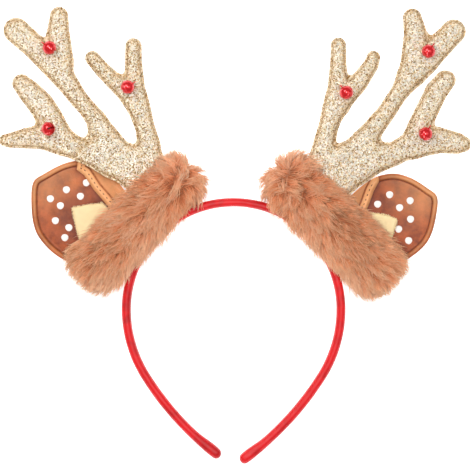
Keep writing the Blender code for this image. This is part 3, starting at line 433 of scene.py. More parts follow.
def slope_of(field, points, reach):
    """A field's gradient at points, from differences over a reach."""
    dx, dy = np.array([reach, 0.0]), np.array([0.0, reach])
    return np.stack([field(points + dx) - field(points - dx),
                     field(points + dy) - field(points - dy)], 1) / (2 * reach)


def onto(field, level, points, reach, rounds=3):
    """Points moved along the field's gradient until the field has the level there."""
    for _ in range(rounds):
        slope = slope_of(field, points, reach)
        length = np.maximum((slope ** 2).sum(1), 0.05)
        points = points - slope * ((field(points) - level) / length)[:, None]
    return points


def layer(field, low, high, box, cell, bulge=0.0, rim_rows=2, lines=()):
    """A closed layer over the region where a field of the plane is negative.

    Its two faces are z = low(x, y) and z = high(x, y) over a square grid whose
    corners near the zero line, and near the levels in lines, are moved onto them.
    The rim is a half ellipse from face to face that stands out by the bulge.
    """
    xs = np.arange(box[0][0] - 2 * cell, box[1][0] + 3 * cell, cell)
    ys = np.arange(box[0][1] - 2 * cell, box[1][1] + 3 * cell, cell)
    flat = np.stack(np.meshgrid(xs, ys, indexing="ij"), -1).reshape(-1, 2)
    depth = field(flat)
    index = np.arange(len(flat)).reshape(len(xs), len(ys))
    quads = np.stack([index[:-1, :-1], index[1:, :-1], index[1:, 1:], index[:-1, 1:]], -1)
    quads = quads.reshape(-1, 4)
    quads = quads[(depth[quads] < -0.35 * cell).any(1)]
    used, quads = np.unique(quads, return_inverse=True)
    quads = quads.reshape(-1, 4)
    flat, depth = flat[used], depth[used]
    edge = depth > -0.35 * cell
    flat[edge] = onto(field, 0.0, flat[edge], 0.4 * cell)
    for level in lines:
        near = ~edge & (np.abs(depth - level) < 0.45 * cell)
        flat[near] = onto(field, level, flat[near], 0.4 * cell)
    count = len(flat)
    sides = np.concatenate([quads[:, [k, (k + 1) % 4]] for k in range(4)])
    key = sides.min(1) * count + sides.max(1)
    _, first, times = np.unique(key, return_index=True, return_counts=True)
    rim = sides[first[times == 1]]
    on_rim = np.unique(rim)
    place = np.full(count, -1)
    place[on_rim] = np.arange(len(on_rim))
    outward = unit(slope_of(field, flat[on_rim], 0.4 * cell))
    top, bottom = high(flat), low(flat)
    angle = np.pi * (np.arange(rim_rows) + 1) / (rim_rows + 1)
    middle, half = (top + bottom)[on_rim] / 2, (top - bottom)[on_rim] / 2
    rows = np.empty((rim_rows, len(on_rim), 3))
    rows[..., :2] = flat[on_rim] + bulge * np.sin(angle)[:, None, None] * outward
    rows[..., 2] = middle + half * np.cos(angle)[:, None]
    corners = np.concatenate([np.column_stack([flat, top]), np.column_stack([flat, bottom]),
                              rows.reshape(-1, 3)])
    levels = [2 * count + k * len(on_rim) + place[rim] for k in range(rim_rows)]
    levels = [rim] + levels + [rim + count]
    walls = np.concatenate([np.stack([a[:, 1], a[:, 0], b[:, 0], b[:, 1]], 1)
                            for a, b in zip(levels[:-1], levels[1:])])
    return corners, [np.concatenate([quads, quads[:, ::-1] + count, walls])]


def stitches(starts, ends, height, thick, lift):
    """Short threads between points, spindles of four sides that lie on a height function."""
    run = ends - starts
    along = unit(run)
    across = np.stack([-along[:, 1], along[:, 0]], 1)
    share = np.array([0.0, 0.22, 0.78, 1.0])
    flat = starts[:, None, :] + share[None, :, None] * run[:, None, :]
    rise = lift * np.array([-0.8, 1.0, 1.0, -0.8])
    z = height(flat.reshape(-1, 2)).reshape(flat.shape[:2]) + rise
    angle = circle(4)
    ring = np.zeros((len(starts), 2, 4, 3))
    ring[..., :2] = (flat[:, 1:3, None, :]
                     + thick / 2 * np.cos(angle)[None, None, :, None] * across[:, None, None, :])
    ring[..., 2] = z[:, 1:3, None] + thick / 2 * np.sin(angle)
    tips = np.concatenate([flat[:, [0, 3]], z[:, [0, 3], None]], -1)
    corners = np.concatenate([ring.reshape(len(starts), 8, 3), tips], 1)
    return corners.reshape(-1, 3), many(tube_faces(2, 4), len(starts), 10)


def cord(path, thick, around):
    """A round thread along a path, drawn to a point at each end."""
    along = unit(np.gradient(path, axis=0))
    side = unit(np.cross(along, (0.31, 0.2, 0.93)))
    over = np.cross(along, side)
    angle = circle(around)[None, :, None]
    rings = path[:, None] + thick / 2 * (np.cos(angle) * side[:, None]
                                         + np.sin(angle) * over[:, None])
    return np.concatenate([rings.reshape(-1, 3), path[[0, -1]]]), tube_faces(len(path), around)


def walk(field, level, start, step, reach):
    """Points at even steps round the line where a field has a level."""
    here = onto(field, level, np.array([start], float), reach, 8)
    path, far = [here[0]], 0.0
    for _ in range(1200):
        slope = slope_of(field, here, reach)[0]
        ahead = unit(np.array([[-slope[1], slope[0]]]))
        here = onto(field, level, here + step * ahead, reach, 4)
        away = np.linalg.norm(here[0] - path[0])
        if far > 4 * step and away < 0.8 * step:
            break
        far = max(far, away)
        path.append(here[0])
    return np.array(path)


# Helpers: materials


class Finish:
    """A Principled material under construction; each call adds one node."""

    def __init__(self, name, **fixed):
        self.material = bpy.data.materials.new(name)
        self.material.use_nodes = True
        self.tree = self.material.node_tree
        self.shader = self.tree.nodes["Principled BSDF"]
        for socket, value in fixed.items():
            self.shader.inputs[socket.replace("_", " ")].default_value = value
        self.coords = self.tree.nodes.new("ShaderNodeTexCoord")

    def node(self, kind, inputs, **options):
        """A node with its options set and its inputs linked or given values."""
        made = self.tree.nodes.new("ShaderNode" + kind)
        for option, value in options.items():
            setattr(made, option, value)
        for socket, value in inputs.items():
            if isinstance(value, bpy.types.NodeSocket):
                self.tree.links.new(value, made.inputs[socket])
            else:
                made.inputs[socket].default_value = value
        return made

    def noise(self, scale, detail=3.0, roughness=0.55, vector=None):
        """Fractal noise from 0 to 1."""
        vector = self.coords.outputs["Object"] if vector is None else vector
        return self.node("TexNoise", {"Vector": vector, "Scale": scale, "Detail": detail,
                                      "Roughness": roughness}).outputs["Fac"]

    def ramp(self, factor, stops):
        """A colour from a factor, through (position, colour) stops."""
        made = self.node("ValToRGB", {"Fac": factor})
        elements = made.color_ramp.elements
        while len(elements) < len(stops):
            elements.new(0.5)
        for element, (position, colour) in zip(elements, stops):
            element.position = position
            element.color = (*colour, 1.0)
        return made.outputs["Color"]

    def mix(self, factor, a, b, blend='MIX'):
        """Two colours mixed."""
        made = self.node("Mix", {}, data_type='RGBA', blend_type=blend)
        for socket, value in ((made.inputs[0], factor), (made.inputs[6], a), (made.inputs[7], b)):
            if isinstance(value, bpy.types.NodeSocket):
                self.tree.links.new(value, socket)
            elif hasattr(value, "__len__"):
                socket.default_value = (*value, 1.0)
            else:
                socket.default_value = value
        return made.outputs[2]

    def maths(self, operation, a, b=0.0, c=0.0):
        """A value worked out from others."""
        made = self.node("Math", {0: a, 1: b, 2: c}, operation=operation)
        return made.outputs[0]

    def bump(self, height, distance, strength=1.0, normal=None):
        """A normal bent by a height in metres."""
        inputs = {"Height": height, "Distance": distance, "Strength": strength}
        if normal is not None:
            inputs["Normal"] = normal
        return self.node("Bump", inputs).outputs["Normal"]

    def uv(self):
        """The piece's own pattern coordinates, as two values."""
        split = self.node("SeparateXYZ", {"Vector": self.coords.outputs["UV"]})
        return split.outputs["X"], split.outputs["Y"]

    def link(self, socket, value):
        """Feeds one of the shader's inputs."""
        self.tree.links.new(value, self.shader.inputs[socket])


def satin():
    """Red satin: a fine thread along the band, and soft folds with painted shade in their hollows and
    a painted highlight on their crests.
    """
    kit = Finish("satin_cover", Roughness=0.42, Specular_IOR_Level=0.35)
    colour = np.array(settings("band").colour)
    along, around = kit.uv()
    threads = kit.node("CombineXYZ", {"X": kit.maths('MULTIPLY', along, 60.0),
                                      "Y": kit.maths('MULTIPLY', around, 90.0), "Z": 0.0})
    weave = kit.noise(9.0, 2.0, vector=threads.outputs[0])
    cloud = kit.noise(90.0, 2.0)
    # painted shade in the folds' hollows, where the cloud's bump is low, and a painted highlight on
    # their crests
    base = kit.ramp(cloud, [(0.34, colour * 0.66), (0.5, colour),
                            (0.75, np.minimum(colour * 1.1, 1))])
    kit.link("Base Color", kit.mix(kit.maths('MULTIPLY', weave, 0.35), base, colour * 0.6))
    kit.link("Normal", kit.bump(weave, 0.00006, 0.6, kit.bump(cloud, 0.0009, 0.6)))
    return kit.material


def glitter():
    """Champagne glitter: flat flakes in every direction, with painted glints and painted shade in the
    flakes' colours, and painted shade, darker and more golden, towards the seam and in the crease.
    """
    own = settings("antler")
    pale, gold, dark = (np.array(c) for c in (own.pale, own.gold, own.dark))
    kit = Finish("glitter_cloth", Metallic=0.12)
    place = kit.coords.outputs["Object"]
    flakes = kit.node("TexVoronoi", {"Vector": place, "Scale": 1 / own.flake})
    toss = kit.node("SeparateColor", {"Color": flakes.outputs["Color"]})
    fine = kit.node("TexVoronoi", {"Vector": place, "Scale": 1.9 / own.flake})
    fine_toss = kit.node("SeparateColor", {"Color": fine.outputs["Color"]})
    tone = kit.maths('MULTIPLY_ADD', fine_toss.outputs[1], 0.4,
                     kit.maths('MULTIPLY', toss.outputs[0], 0.6))
    # painted glints and painted shade: each flake goes pale or dark as if turned to or away from the
    # light
    colour = kit.ramp(tone, [(0.12, dark * 0.5), (0.25, dark), (0.34, gold * 0.85), (0.42, gold),
                             (0.5, pale * 0.95), (0.75, pale)])
    tint = kit.ramp(toss.outputs[1], [(0.0, (1.0, 0.9, 0.86)), (0.5, (1.0, 1.0, 1.0)),
                                      (1.0, (0.9, 1.0, 0.9))])
    colour = kit.mix(0.7, colour, tint, 'MULTIPLY')
    depth, _ = kit.uv()
    # painted shade: darker and more golden towards the edge, with a dark band in the stitched dent
    edge = kit.ramp(depth, [(0.0, (0.95, 0.84, 0.68)), (0.09, (0.93, 0.80, 0.62)),
                            (0.18, (0.62, 0.44, 0.27)), (0.26, (0.94, 0.83, 0.68)),
                            (0.42, (0.99, 0.94, 0.85)), (0.8, (1.0, 1.0, 1.0))])
    kit.link("Base Color", kit.mix(0.85, colour, edge, 'MULTIPLY'))
    kit.link("Roughness", kit.node("MapRange", {"Value": toss.outputs[2], "To Min": 0.16,
                                                "To Max": 0.5}).outputs[0])
    aim = kit.node("VectorMath", {0: flakes.outputs["Color"], 1: (0.5, 0.5, 0.5)},
                   operation='SUBTRACT').outputs[0]
    normal = kit.node("NewGeometry", {}).outputs["Normal"]
    bent = kit.node("VectorMath", {0: aim, 1: (1.3, 1.3, 1.3), 2: normal},
                    operation='MULTIPLY_ADD').outputs[0]
    kit.link("Normal", kit.node("VectorMath", {0: bent}, operation='NORMALIZE').outputs[0])
    return kit.material


def leather():
    """Soft brown imitation leather: clouded and pebbled, with painted highlight on its hems, flap and
    upper tip, and painted shade along its stitching, beside the felt and under the flap.
    """
    own = settings("ear")
    main, shade, lift = (np.array(c) for c in (own.colour, own.shade, own.lift))
    kit = Finish("stitched_leather", Roughness=0.45, Specular_IOR_Level=0.25)
    painted_highlight, folded = kit.uv()
    cloud = kit.noise(130.0, 4.0, 0.65)
    mottled = kit.ramp(cloud, [(0.36, shade), (0.5, main), (0.64, np.minimum(main * 1.3, 1))])
    # painted highlight and painted shade over the mottled leather
    kit.link("Base Color", kit.mix(folded, kit.mix(painted_highlight, mottled, lift), shade * 0.72))
    grain = kit.node("TexVoronoi", {"Vector": kit.coords.outputs["Object"], "Scale": 1100.0},
                     feature='SMOOTH_F1').outputs["Distance"]
    wrinkle = kit.noise(150.0, 4.0, 0.6)
    kit.link("Normal", kit.bump(grain, 0.00012, 0.4, kit.bump(wrinkle, 0.0009, 0.5)))
    return kit.material


def plain(name, colour, roughness, **fixed):
    """A painted, printed or spun finish with a slight mottle."""
    kit = Finish(name, Roughness=roughness, **fixed)
    colour = np.array(colour)
    cloud = kit.noise(700.0, 3.0)
    kit.link("Base Color", kit.ramp(cloud, [(0.3, colour * 0.9),
                                            (0.7, np.minimum(colour * 1.05, 1))]))
    kit.link("Normal", kit.bump(cloud, 0.00004, 0.5))
    return kit.material


def felt():
    """Cream felt: matted fibres that lie every way."""
    colour = np.array(settings("patch").colour)
    kit = Finish("cut_felt", Roughness=0.95, Sheen_Weight=0.3, Sheen_Roughness=0.5)
    fibres = kit.noise(1300.0, 5.0, 0.75)
    cloud = kit.noise(120.0, 3.0)
    base = kit.ramp(cloud, [(0.3, colour * 0.93), (0.7, np.minimum(colour * 1.04, 1))])
    kit.link("Base Color", kit.mix(kit.maths('MULTIPLY', fibres, 0.14), base, colour * 0.7))
    kit.link("Normal", kit.bump(fibres, 0.0003, 0.55))
    return kit.material


def fur():
    """Fur: one colour along each strand from root to tip, lighter or darker strand by strand."""
    own = settings("fur")
    root, middle, tip = (np.array(c) for c in (own.root, own.middle, own.tip))
    kit = Finish("fur_pile", Roughness=0.6, Specular_IOR_Level=0.25, Sheen_Weight=0.3,
                 Sheen_Roughness=0.5, Sheen_Tint=(1.0, 0.58, 0.36, 1.0))
    tone, share = kit.uv()
    strand = kit.ramp(share, [(0.0, root * 0.55), (0.28, root), (0.6, middle), (1.0, tip)])
    deep = kit.ramp(tone, [(0.0, (0.62, 0.50, 0.43)), (0.34, (1.0, 1.0, 1.0))])
    strand = kit.mix(1.0, strand, deep, 'MULTIPLY')
    # paler strands: painted highlight at the inner side and ends, and random pale strands
    fluff = kit.node("MapRange", {"Value": tone, "From Min": 0.45, "From Max": 1.0, "To Max": 0.85})
    kit.link("Base Color", kit.mix(fluff.outputs[0], strand, np.array(own.pale)))
    return kit.material


def pile_backing():
    """The cloth that the fur grows from, with the shade between its strands."""
    kit = Finish("fur_backing", Roughness=0.9)
    root = np.array(settings("fur").root)
    cloud = kit.noise(500.0, 3.0)
    kit.link("Base Color", kit.ramp(cloud, [(0.3, root * 0.55), (0.7, root * 0.85)]))
    kit.link("Normal", kit.bump(cloud, 0.0006, 0.8))
    return kit.material


def kept(name, make, *values, **fixed):
    """A material made once and then shared."""
    return bpy.data.materials.get(name) or make(*values, **fixed)


def gold_thread():
    """The thread that the antlers and the bells are sewn with."""
    return kept("thread_gold", plain, "thread_gold", srgb("C9A974"), 0.6)


# The band


def hoop_half(step, arm_sweep):
    """The hoop's centre line from crown to tip on the right: three arcs, each tangent to the last."""
    arcs = ((CROWN_RADIUS, 90.0), (SIDE_RADIUS, SIDE_SWEEP), (ARM_RADIUS, arm_sweep))
    following = (SIDE_RADIUS, ARM_RADIUS, ARM_RADIUS)
    points, normals = [], []
    centre, heading = np.zeros(2), 0.0
    for (radius, sweep), next_radius in zip(arcs, following):
        sweep = math.radians(sweep)
        angle = heading + np.linspace(0, sweep, max(int(radius * sweep / step), 2) + 1)[1:]
        normal = np.stack([np.sin(angle), np.cos(angle)], 1)
        points.append(centre + radius * normal)
        normals.append(normal)
        heading += sweep
        centre = centre + (radius - next_radius) * normal[-1]
    crown = np.array([[0.0, 1.0]])
    return (np.concatenate([crown * CROWN_RADIUS] + points), np.concatenate([crown] + normals))


def hoop_centre():
    """The drawing's origin in the frame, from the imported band's box."""
    low, high = BAND_BOX
    return np.array([(low.x + high.x) / 2,
                     high.y - CROWN_RADIUS - settings("band").thickness / 2 * FACET_SHARE])


def hoop_outside():
    """The radius of the hoop's outer face at the crown."""
    return CROWN_RADIUS + settings("band").thickness / 2


def into_hoop(points):
    """How far points are past the gap that is kept outside the hoop."""
    return hoop_outside() + GAP - np.linalg.norm(points - hoop_centre(), axis=1)


def hoop_z(y):
    """Height of the band's middle, leaning from the crown down to the tips."""
    bottom = hoop_half(BAND_STEP, ARM_SWEEPS[1])[0][:, 1].min()
    return TIP_Z + (CROWN_Z - TIP_Z) * (y - bottom) / (CROWN_RADIUS - bottom)


def make_band():
    """The satin cover: an oval section carried round the hoop, with soft swollen tips."""
    own = settings("band")
    left, left_out = hoop_half(BAND_STEP, ARM_SWEEPS[0])
    right, right_out = hoop_half(BAND_STEP, ARM_SWEEPS[1])
    line = np.concatenate([left[:0:-1] * (-1, 1), right])
    outward = np.concatenate([left_out[:0:-1] * (-1, 1), right_out])
    run = run_of(line)
    blunt = 0.55 * own.thickness
    ends = blunt * (1 - np.cos(np.linspace(0.12, 1, 9) * np.pi / 2))
    at = np.concatenate([ends, run[(run > 1.2 * blunt) & (run < run[-1] - 1.2 * blunt)],
                         run[-1] - ends[::-1]])
    line, outward = at_run(at, run, line), at_run(at, run, outward)
    left_over = np.minimum(at, at[-1] - at)
    swell = 0.34 * np.exp(-((left_over - 1.3 * own.thickness) / (1.5 * own.thickness)) ** 2)
    slim = 0.90 + 0.07 * np.clip((at[-1] / 2 - left_over) / (0.25 * at[-1]), 0, 1)
    rounding = np.sqrt(np.clip(1 - (1 - np.clip(left_over / blunt, 0, 1)) ** 2, 0, 1))
    angle = circle(BAND_AROUND)
    across, up = (np.sign(part) * np.abs(part) ** SECTION_POWER
                  for part in (np.cos(angle), np.sin(angle)))
    cloth = 1 + 0.025 * lattice_noise(np.stack(np.broadcast_arrays(
        at[:, None] / (6 * MM), np.cos(angle) * 1.5, np.sin(angle) * 1.5), -1), 1.0, 5)
    # the cover's two edges meet in a low ridge on the inner face
    ridge = 0.06 * np.exp(-((np.angle(np.exp(1j * (angle - np.pi - 0.35)))) / 0.22) ** 2)
    size = (slim * rounding)[:, None] * cloth + ridge * rounding[:, None]
    swollen = 1 + swell[:, None] * np.where(across < 0, 1.0, 0.35)
    radial = own.thickness / 2 * across * size * swollen
    height = own.depth / 2 * up * np.minimum(size, 1.0)
    rings = np.empty((len(at), BAND_AROUND, 3))
    rings[..., :2] = line[:, None, :] + outward[:, None, :] * radial[..., None]
    rings[..., 2] = hoop_z(line[:, 1])[:, None] + height
    tips = np.column_stack([line[[0, -1]], hoop_z(line[[0, -1], 1])])
    tips[:, :2] += 0.02 * own.thickness * unit(line[[0, -1]] - line[[1, -2]])
    corners = np.concatenate([rings.reshape(-1, 3), tips])
    corners[:, :2] += hoop_centre()
    corners[:, 2] = np.maximum(corners[:, 2], 0.1 * MM)
    uv = np.stack(np.broadcast_arrays(at[:, None] / 0.1, angle[None] / (2 * np.pi)), -1)
    uv = np.concatenate([uv.reshape(-1, 2), [[at[0] / 0.1, 0.5], [at[-1] / 0.1, 0.5]]])
    faces = reversed_faces(tube_faces(len(at), BAND_AROUND))
    cover = piece("band_cover", (corners, faces, uv), kept("satin_cover", satin),
                  ["band"])


def seat(angle, sign, radius):
    """A point on a circle about the hoop's centre, at an angle from the top, in the frame."""
    angle = math.radians(angle)
    return hoop_centre() + radius * np.array([sign * math.sin(angle), math.cos(angle)])


# The antlers


class Antler:
    """One antler's outline as a field of the plane, its padded height and its lean."""

    def __init__(self, side):
        self.own = settings("antler")
        self.sign = SIGNS[side]
        self.root = seat(ANTLER_ANGLE, self.sign, hoop_outside())
        self.chains = [[(self.at(out, up), width * self.own.tine / 2) for out, up, width in limb]
                       for limb in LIMBS[side]]
        self.crease = [self.at(*end) for end in CREASES[side]] if side in CREASES else None
        places = np.array([p for chain in self.chains for p, _ in chain])
        margin = self.own.tine * 1.3
        self.box = places.min(0) - margin, places.max(0) + margin
        self.cell = self.own.cell
        self.xs = np.arange(self.box[0][0], self.box[1][0], self.cell)
        self.ys = np.arange(self.box[0][1], self.box[1][1], self.cell)
        grid = np.stack(np.meshgrid(self.xs, self.ys, indexing="ij"), -1)
        self.depth = self.distance(grid.reshape(-1, 2)).reshape(grid.shape[:2])
        self.swell = self.stuffed()
        spine = np.concatenate([even_points([p for p, _ in chain], 3 * MM)
                                for chain in self.chains])
        reach = np.linalg.norm(spine - self.root, axis=1)
        far = reach > 0.6 * reach.max()
        self.slope = ((ANTLER_ROOT_Z - self.half(spine)[far]) / reach[far]).min()

    def at(self, out, up):
        """A place on the antler from its shares of the height."""
        return self.root + self.own.height * np.array([self.sign * out, up])

    def distance(self, points):
        """Signed distance to the limbs: tapered bars, blended where they fork."""
        total = None
        for chain in self.chains:
            nearest = np.full(len(points), np.inf)
            for (a, ra), (b, rb) in zip(chain[:-1], chain[1:]):
                ab = b - a
                t = np.clip(((points - a) @ ab) / (ab @ ab), 0, 1)
                gap = np.linalg.norm(points - a - t[:, None] * ab, axis=1)
                nearest = np.minimum(nearest, gap - (ra + t * (rb - ra)))
            if total is None:
                total = nearest
            else:
                near = np.clip(CROTCH_FILLET - np.abs(total - nearest), 0, None) / CROTCH_FILLET
                total = np.minimum(total, nearest) - near ** 2 * CROTCH_FILLET / 4
        return np.maximum(total, into_hoop(points))

    def stuffed(self):
        """The stuffing's lift: lap(u) = u / spread^2 - 1 inside the stitches, and the root of u."""
        held = self.depth > -self.own.seam
        u = np.zeros_like(self.depth)
        k = (self.cell / STUFFING_SPREAD) ** 2
        for _ in range(STUFFING_ROUNDS):
            total = np.zeros_like(u)
            total[1:-1, 1:-1] = u[2:, 1:-1] + u[:-2, 1:-1] + u[1:-1, 2:] + u[1:-1, :-2]
            u = (total + k) / (4 + k)
            u[held] = 0
        return self.own.stuffing * np.sqrt(np.clip(u, 0, None))

    def sample(self, grid, points):
        """A grid's values at points, straight between the grid's own."""
        fx = np.clip((points[:, 0] - self.xs[0]) / self.cell, 0, len(self.xs) - 1.001)
        fy = np.clip((points[:, 1] - self.ys[0]) / self.cell, 0, len(self.ys) - 1.001)
        i, j = fx.astype(int), fy.astype(int)
        tx, ty = fx - i, fy - j
        return ((1 - tx) * (1 - ty) * grid[i, j] + tx * (1 - ty) * grid[i + 1, j]
                + (1 - tx) * ty * grid[i, j + 1] + tx * ty * grid[i + 1, j + 1])

    def half(self, points):
        """Half the thickness: cloth at the seam, a dent along the stitches, stuffing inside."""
        depth = self.sample(self.depth, points)
        lift = self.sample(self.swell, points)
        dent = SEAM_DENT * np.exp(-((depth + self.own.seam) / SEAM_DENT_WIDTH) ** 2)
        cloth = SEAM_CLOTH - dent
        pucker = (0.10 * lattice_noise(points, 2.6 * MM, 11)
                  + 0.07 * lattice_noise(points, 7 * MM, 12))
        half = cloth + lift * (1 + pucker)
        if self.crease is not None:
            away = line_distance(points, self.crease, closed=False)
            pressed = CREASE_DEPTH * np.exp(-(away / CREASE_WIDTH) ** 2)
            half = np.maximum(half - pressed, 0.5 * MM)
        return half

    def middle(self, points):
        """Height of the middle plane, leaning down away from the root."""
        return ANTLER_ROOT_Z - self.slope * np.linalg.norm(points - self.root, axis=1)

    def top(self, points):
        """Height of the front face."""
        return self.middle(points) + self.half(points)

    def bottom(self, points):
        """Height of the back face, never under the floor."""
        return np.maximum(self.middle(points) - self.half(points), RESTING)


def make_antler(side, antler):
    """The padded cloth and its row of stitches."""
    own = antler.own

    def field(points):
        return antler.sample(antler.depth, points)

    corners, faces = layer(field, antler.bottom, antler.top, antler.box, own.cell,
                           bulge=0.25 * MM, lines=(-own.seam,))
    inset = -field(corners[:, :2])
    # painted shade in the crease: corners near it take the edge's darker colours
    if antler.crease is not None:
        away = line_distance(corners[:, :2], antler.crease, closed=False)
        inset = np.minimum(inset, 1.1 * MM + 1.3 * away)
    uv = np.column_stack([np.clip(inset / (7 * MM), 0, 1), corners[:, 2] / 0.05])
    skin = piece("antler_skin_" + side, (corners, faces, uv), kept("glitter_cloth", glitter),
                 ["antler_" + side])
    line = walk(field, -own.seam, antler.at(0.14, 0.38), ANTLER_STITCH, 0.5 * own.cell)
    following = np.roll(line, -1, 0)
    starts, ends = line + 0.12 * (following - line), line + 0.80 * (following - line)
    front = stitches(starts, ends, antler.top, ANTLER_THREAD, 0.1 * MM)
    back = stitches(starts, ends, antler.bottom, ANTLER_THREAD, 0.08 * MM)
    corners = np.concatenate([front[0], back[0]])
    corners[:, 2] = np.maximum(corners[:, 2], 0.02 * MM)
    faces = front[1] + [part + len(front[0]) for part in back[1]]
    piece("antler_stitches_" + side, (corners, faces), gold_thread())


# The ears


class Ear:
    """One ear's outline, its folded flap and the height of its leather."""

    def __init__(self, side, angle, turn, long, wide):
        self.own = settings("ear")
        sign, turn = SIGNS[side], math.radians(turn)
        self.root = seat(angle, sign, EAR_ROOT_RADIUS)
        self.along = np.array([sign * math.cos(turn), math.sin(turn)])
        self.across = np.array([-sign * math.sin(turn), math.cos(turn)])
        self.long, self.wide = long * self.own.length, wide * self.own.width
        self.rim = closed_curve(self.place(EAR_OUTLINE))
        self.fold = self.place(FLAPS[side])
        self.patch = self.place(PATCHES[side])
        self.box = self.rim.min(0), self.rim.max(0)
        beyond = 3 * self.wide * self.across
        self.flap_region = np.concatenate([self.fold,
                                           [self.fold[-1] + beyond, self.fold[0] + beyond]])

    def place(self, rows):
        """Rows of (along, across) shares as points."""
        rows = np.asarray(rows)
        return (self.root + rows[:, :1] * self.long * self.along
                + rows[:, 1:] * self.wide * self.across)

    def shares(self, points):
        """Points as (along, across) shares."""
        rel = points - self.root
        return rel @ self.along / self.long, rel @ self.across / self.wide

    def field(self, points):
        """Signed distance to the ear's edge, which stops short of the hoop."""
        gap = line_distance(points, self.rim)
        return np.maximum(np.where(within(points, self.rim), -gap, gap), into_hoop(points))

    def flap_line(self, points):
        """Signed distance to the flap's loose edge, negative on the flap."""
        gap = line_distance(points, self.fold, closed=False)
        return np.where(within(points, self.flap_region), -gap, gap)

    def flap_field(self, points):
        """The flap's region: on the ear and above the loose edge."""
        return np.maximum(self.field(points), self.flap_line(points))

    def low(self, points):
        """Height of the back: down from the root to the belly, and up at the edges."""
        along, across = self.shares(points)
        near = np.clip(1 - along / 0.5, 0, 1)
        root = EAR_ROOT_Z * near ** 2 * (3 - 2 * near)
        lower = np.clip(-across / 0.45, 0, 1.2) ** 2
        tip = np.clip((along - 0.55) / 0.45, 0, 1.2) ** 2
        upper = 0.25 * np.clip(across / 0.5, 0, 1.2) ** 2
        cup = EAR_CUP * np.clip(lower + 0.6 * tip + upper, 0, 1.5) * np.clip(along / 0.25, 0, 1)
        wave = (0.5 * MM * lattice_noise(points, 17 * MM, 21)
                + 0.22 * MM * lattice_noise(points, 7 * MM, 22))
        return np.maximum(root + cup + wave * step_between(0.15, 0.5, along), RESTING)

    def hem(self, depth, width, height):
        """The turned edge: a round ridge, and the stitched dent inside it."""
        ridge = height * np.sqrt(np.clip(1 - ((depth + width / 2) / (width / 2)) ** 2, 0, 1))
        dent = 0.4 * MM * np.exp(-((depth + width + 0.2 * MM) / (0.5 * MM)) ** 2)
        return ridge - dent

    def high(self, points):
        """Height of the face."""
        hem = self.hem(self.field(points), self.own.hem, 0.75 * MM)
        return self.low(points) + self.own.leather + hem

    def flap_low(self, points):
        """Height of the flap's underside."""
        return self.low(points) + self.own.leather + FLAP_GAP

    def flap_high(self, points):
        """Height of the flap's face, with its hem, gathers and softly rolled fold."""
        edge = self.flap_line(points)
        fold = 1.1 * MM * np.exp(-((self.field(points) + 2 * MM) / (3 * MM)) ** 2)
        gathers = 0.35 * MM * lattice_noise(points, 2.6 * MM, 23) * np.exp(edge / (4 * MM))
        ridge = self.hem(edge, self.own.flap_hem, 1.3 * MM)
        quilt = 0.55 * MM * np.exp(-((edge + self.own.flap_hem / 2) / (0.6 * MM)) ** 2)
        return self.flap_low(points) + self.own.leather + ridge - quilt + fold + gathers

    def patch_field(self, points):
        """Signed distance to the felt's edge, a little ragged."""
        gap = line_distance(points, self.patch)
        ragged = (0.22 * MM * lattice_noise(points, 0.9 * MM, 24)
                  + 0.2 * MM * lattice_noise(points, 3 * MM, 25))
        return np.where(within(points, self.patch), -gap, gap) + ragged

    def patch_low(self, points):
        """Height of the felt's back, just over the leather."""
        return self.low(points) + self.own.leather + PATCH_GAP

    def patch_high(self, points):
        """Height of the felt's face, softly rounded at its edges."""
        edge = np.clip(-self.patch_field(points) / (1.2 * MM), 0, 1)
        soft = (0.12 * MM * lattice_noise(points, 1.5 * MM, 26)
                + 0.25 * MM * lattice_noise(points, 9 * MM, 27))
        thick = settings("patch").felt * (0.55 + 0.45 * np.sqrt(edge))
        return self.patch_low(points) + thick + soft


def seam_threads(name, line, height, thick, lift, fill):
    """A row of stitches on an ear, from each point of a line towards the next."""
    starts, ends = line[:-1], line[:-1] + fill * (line[1:] - line[:-1])
    brown = kept("thread_brown", plain, "thread_brown", srgb("6E3B20"), 0.7)
    return piece(name, stitches(starts, ends, height, thick, lift), brown)


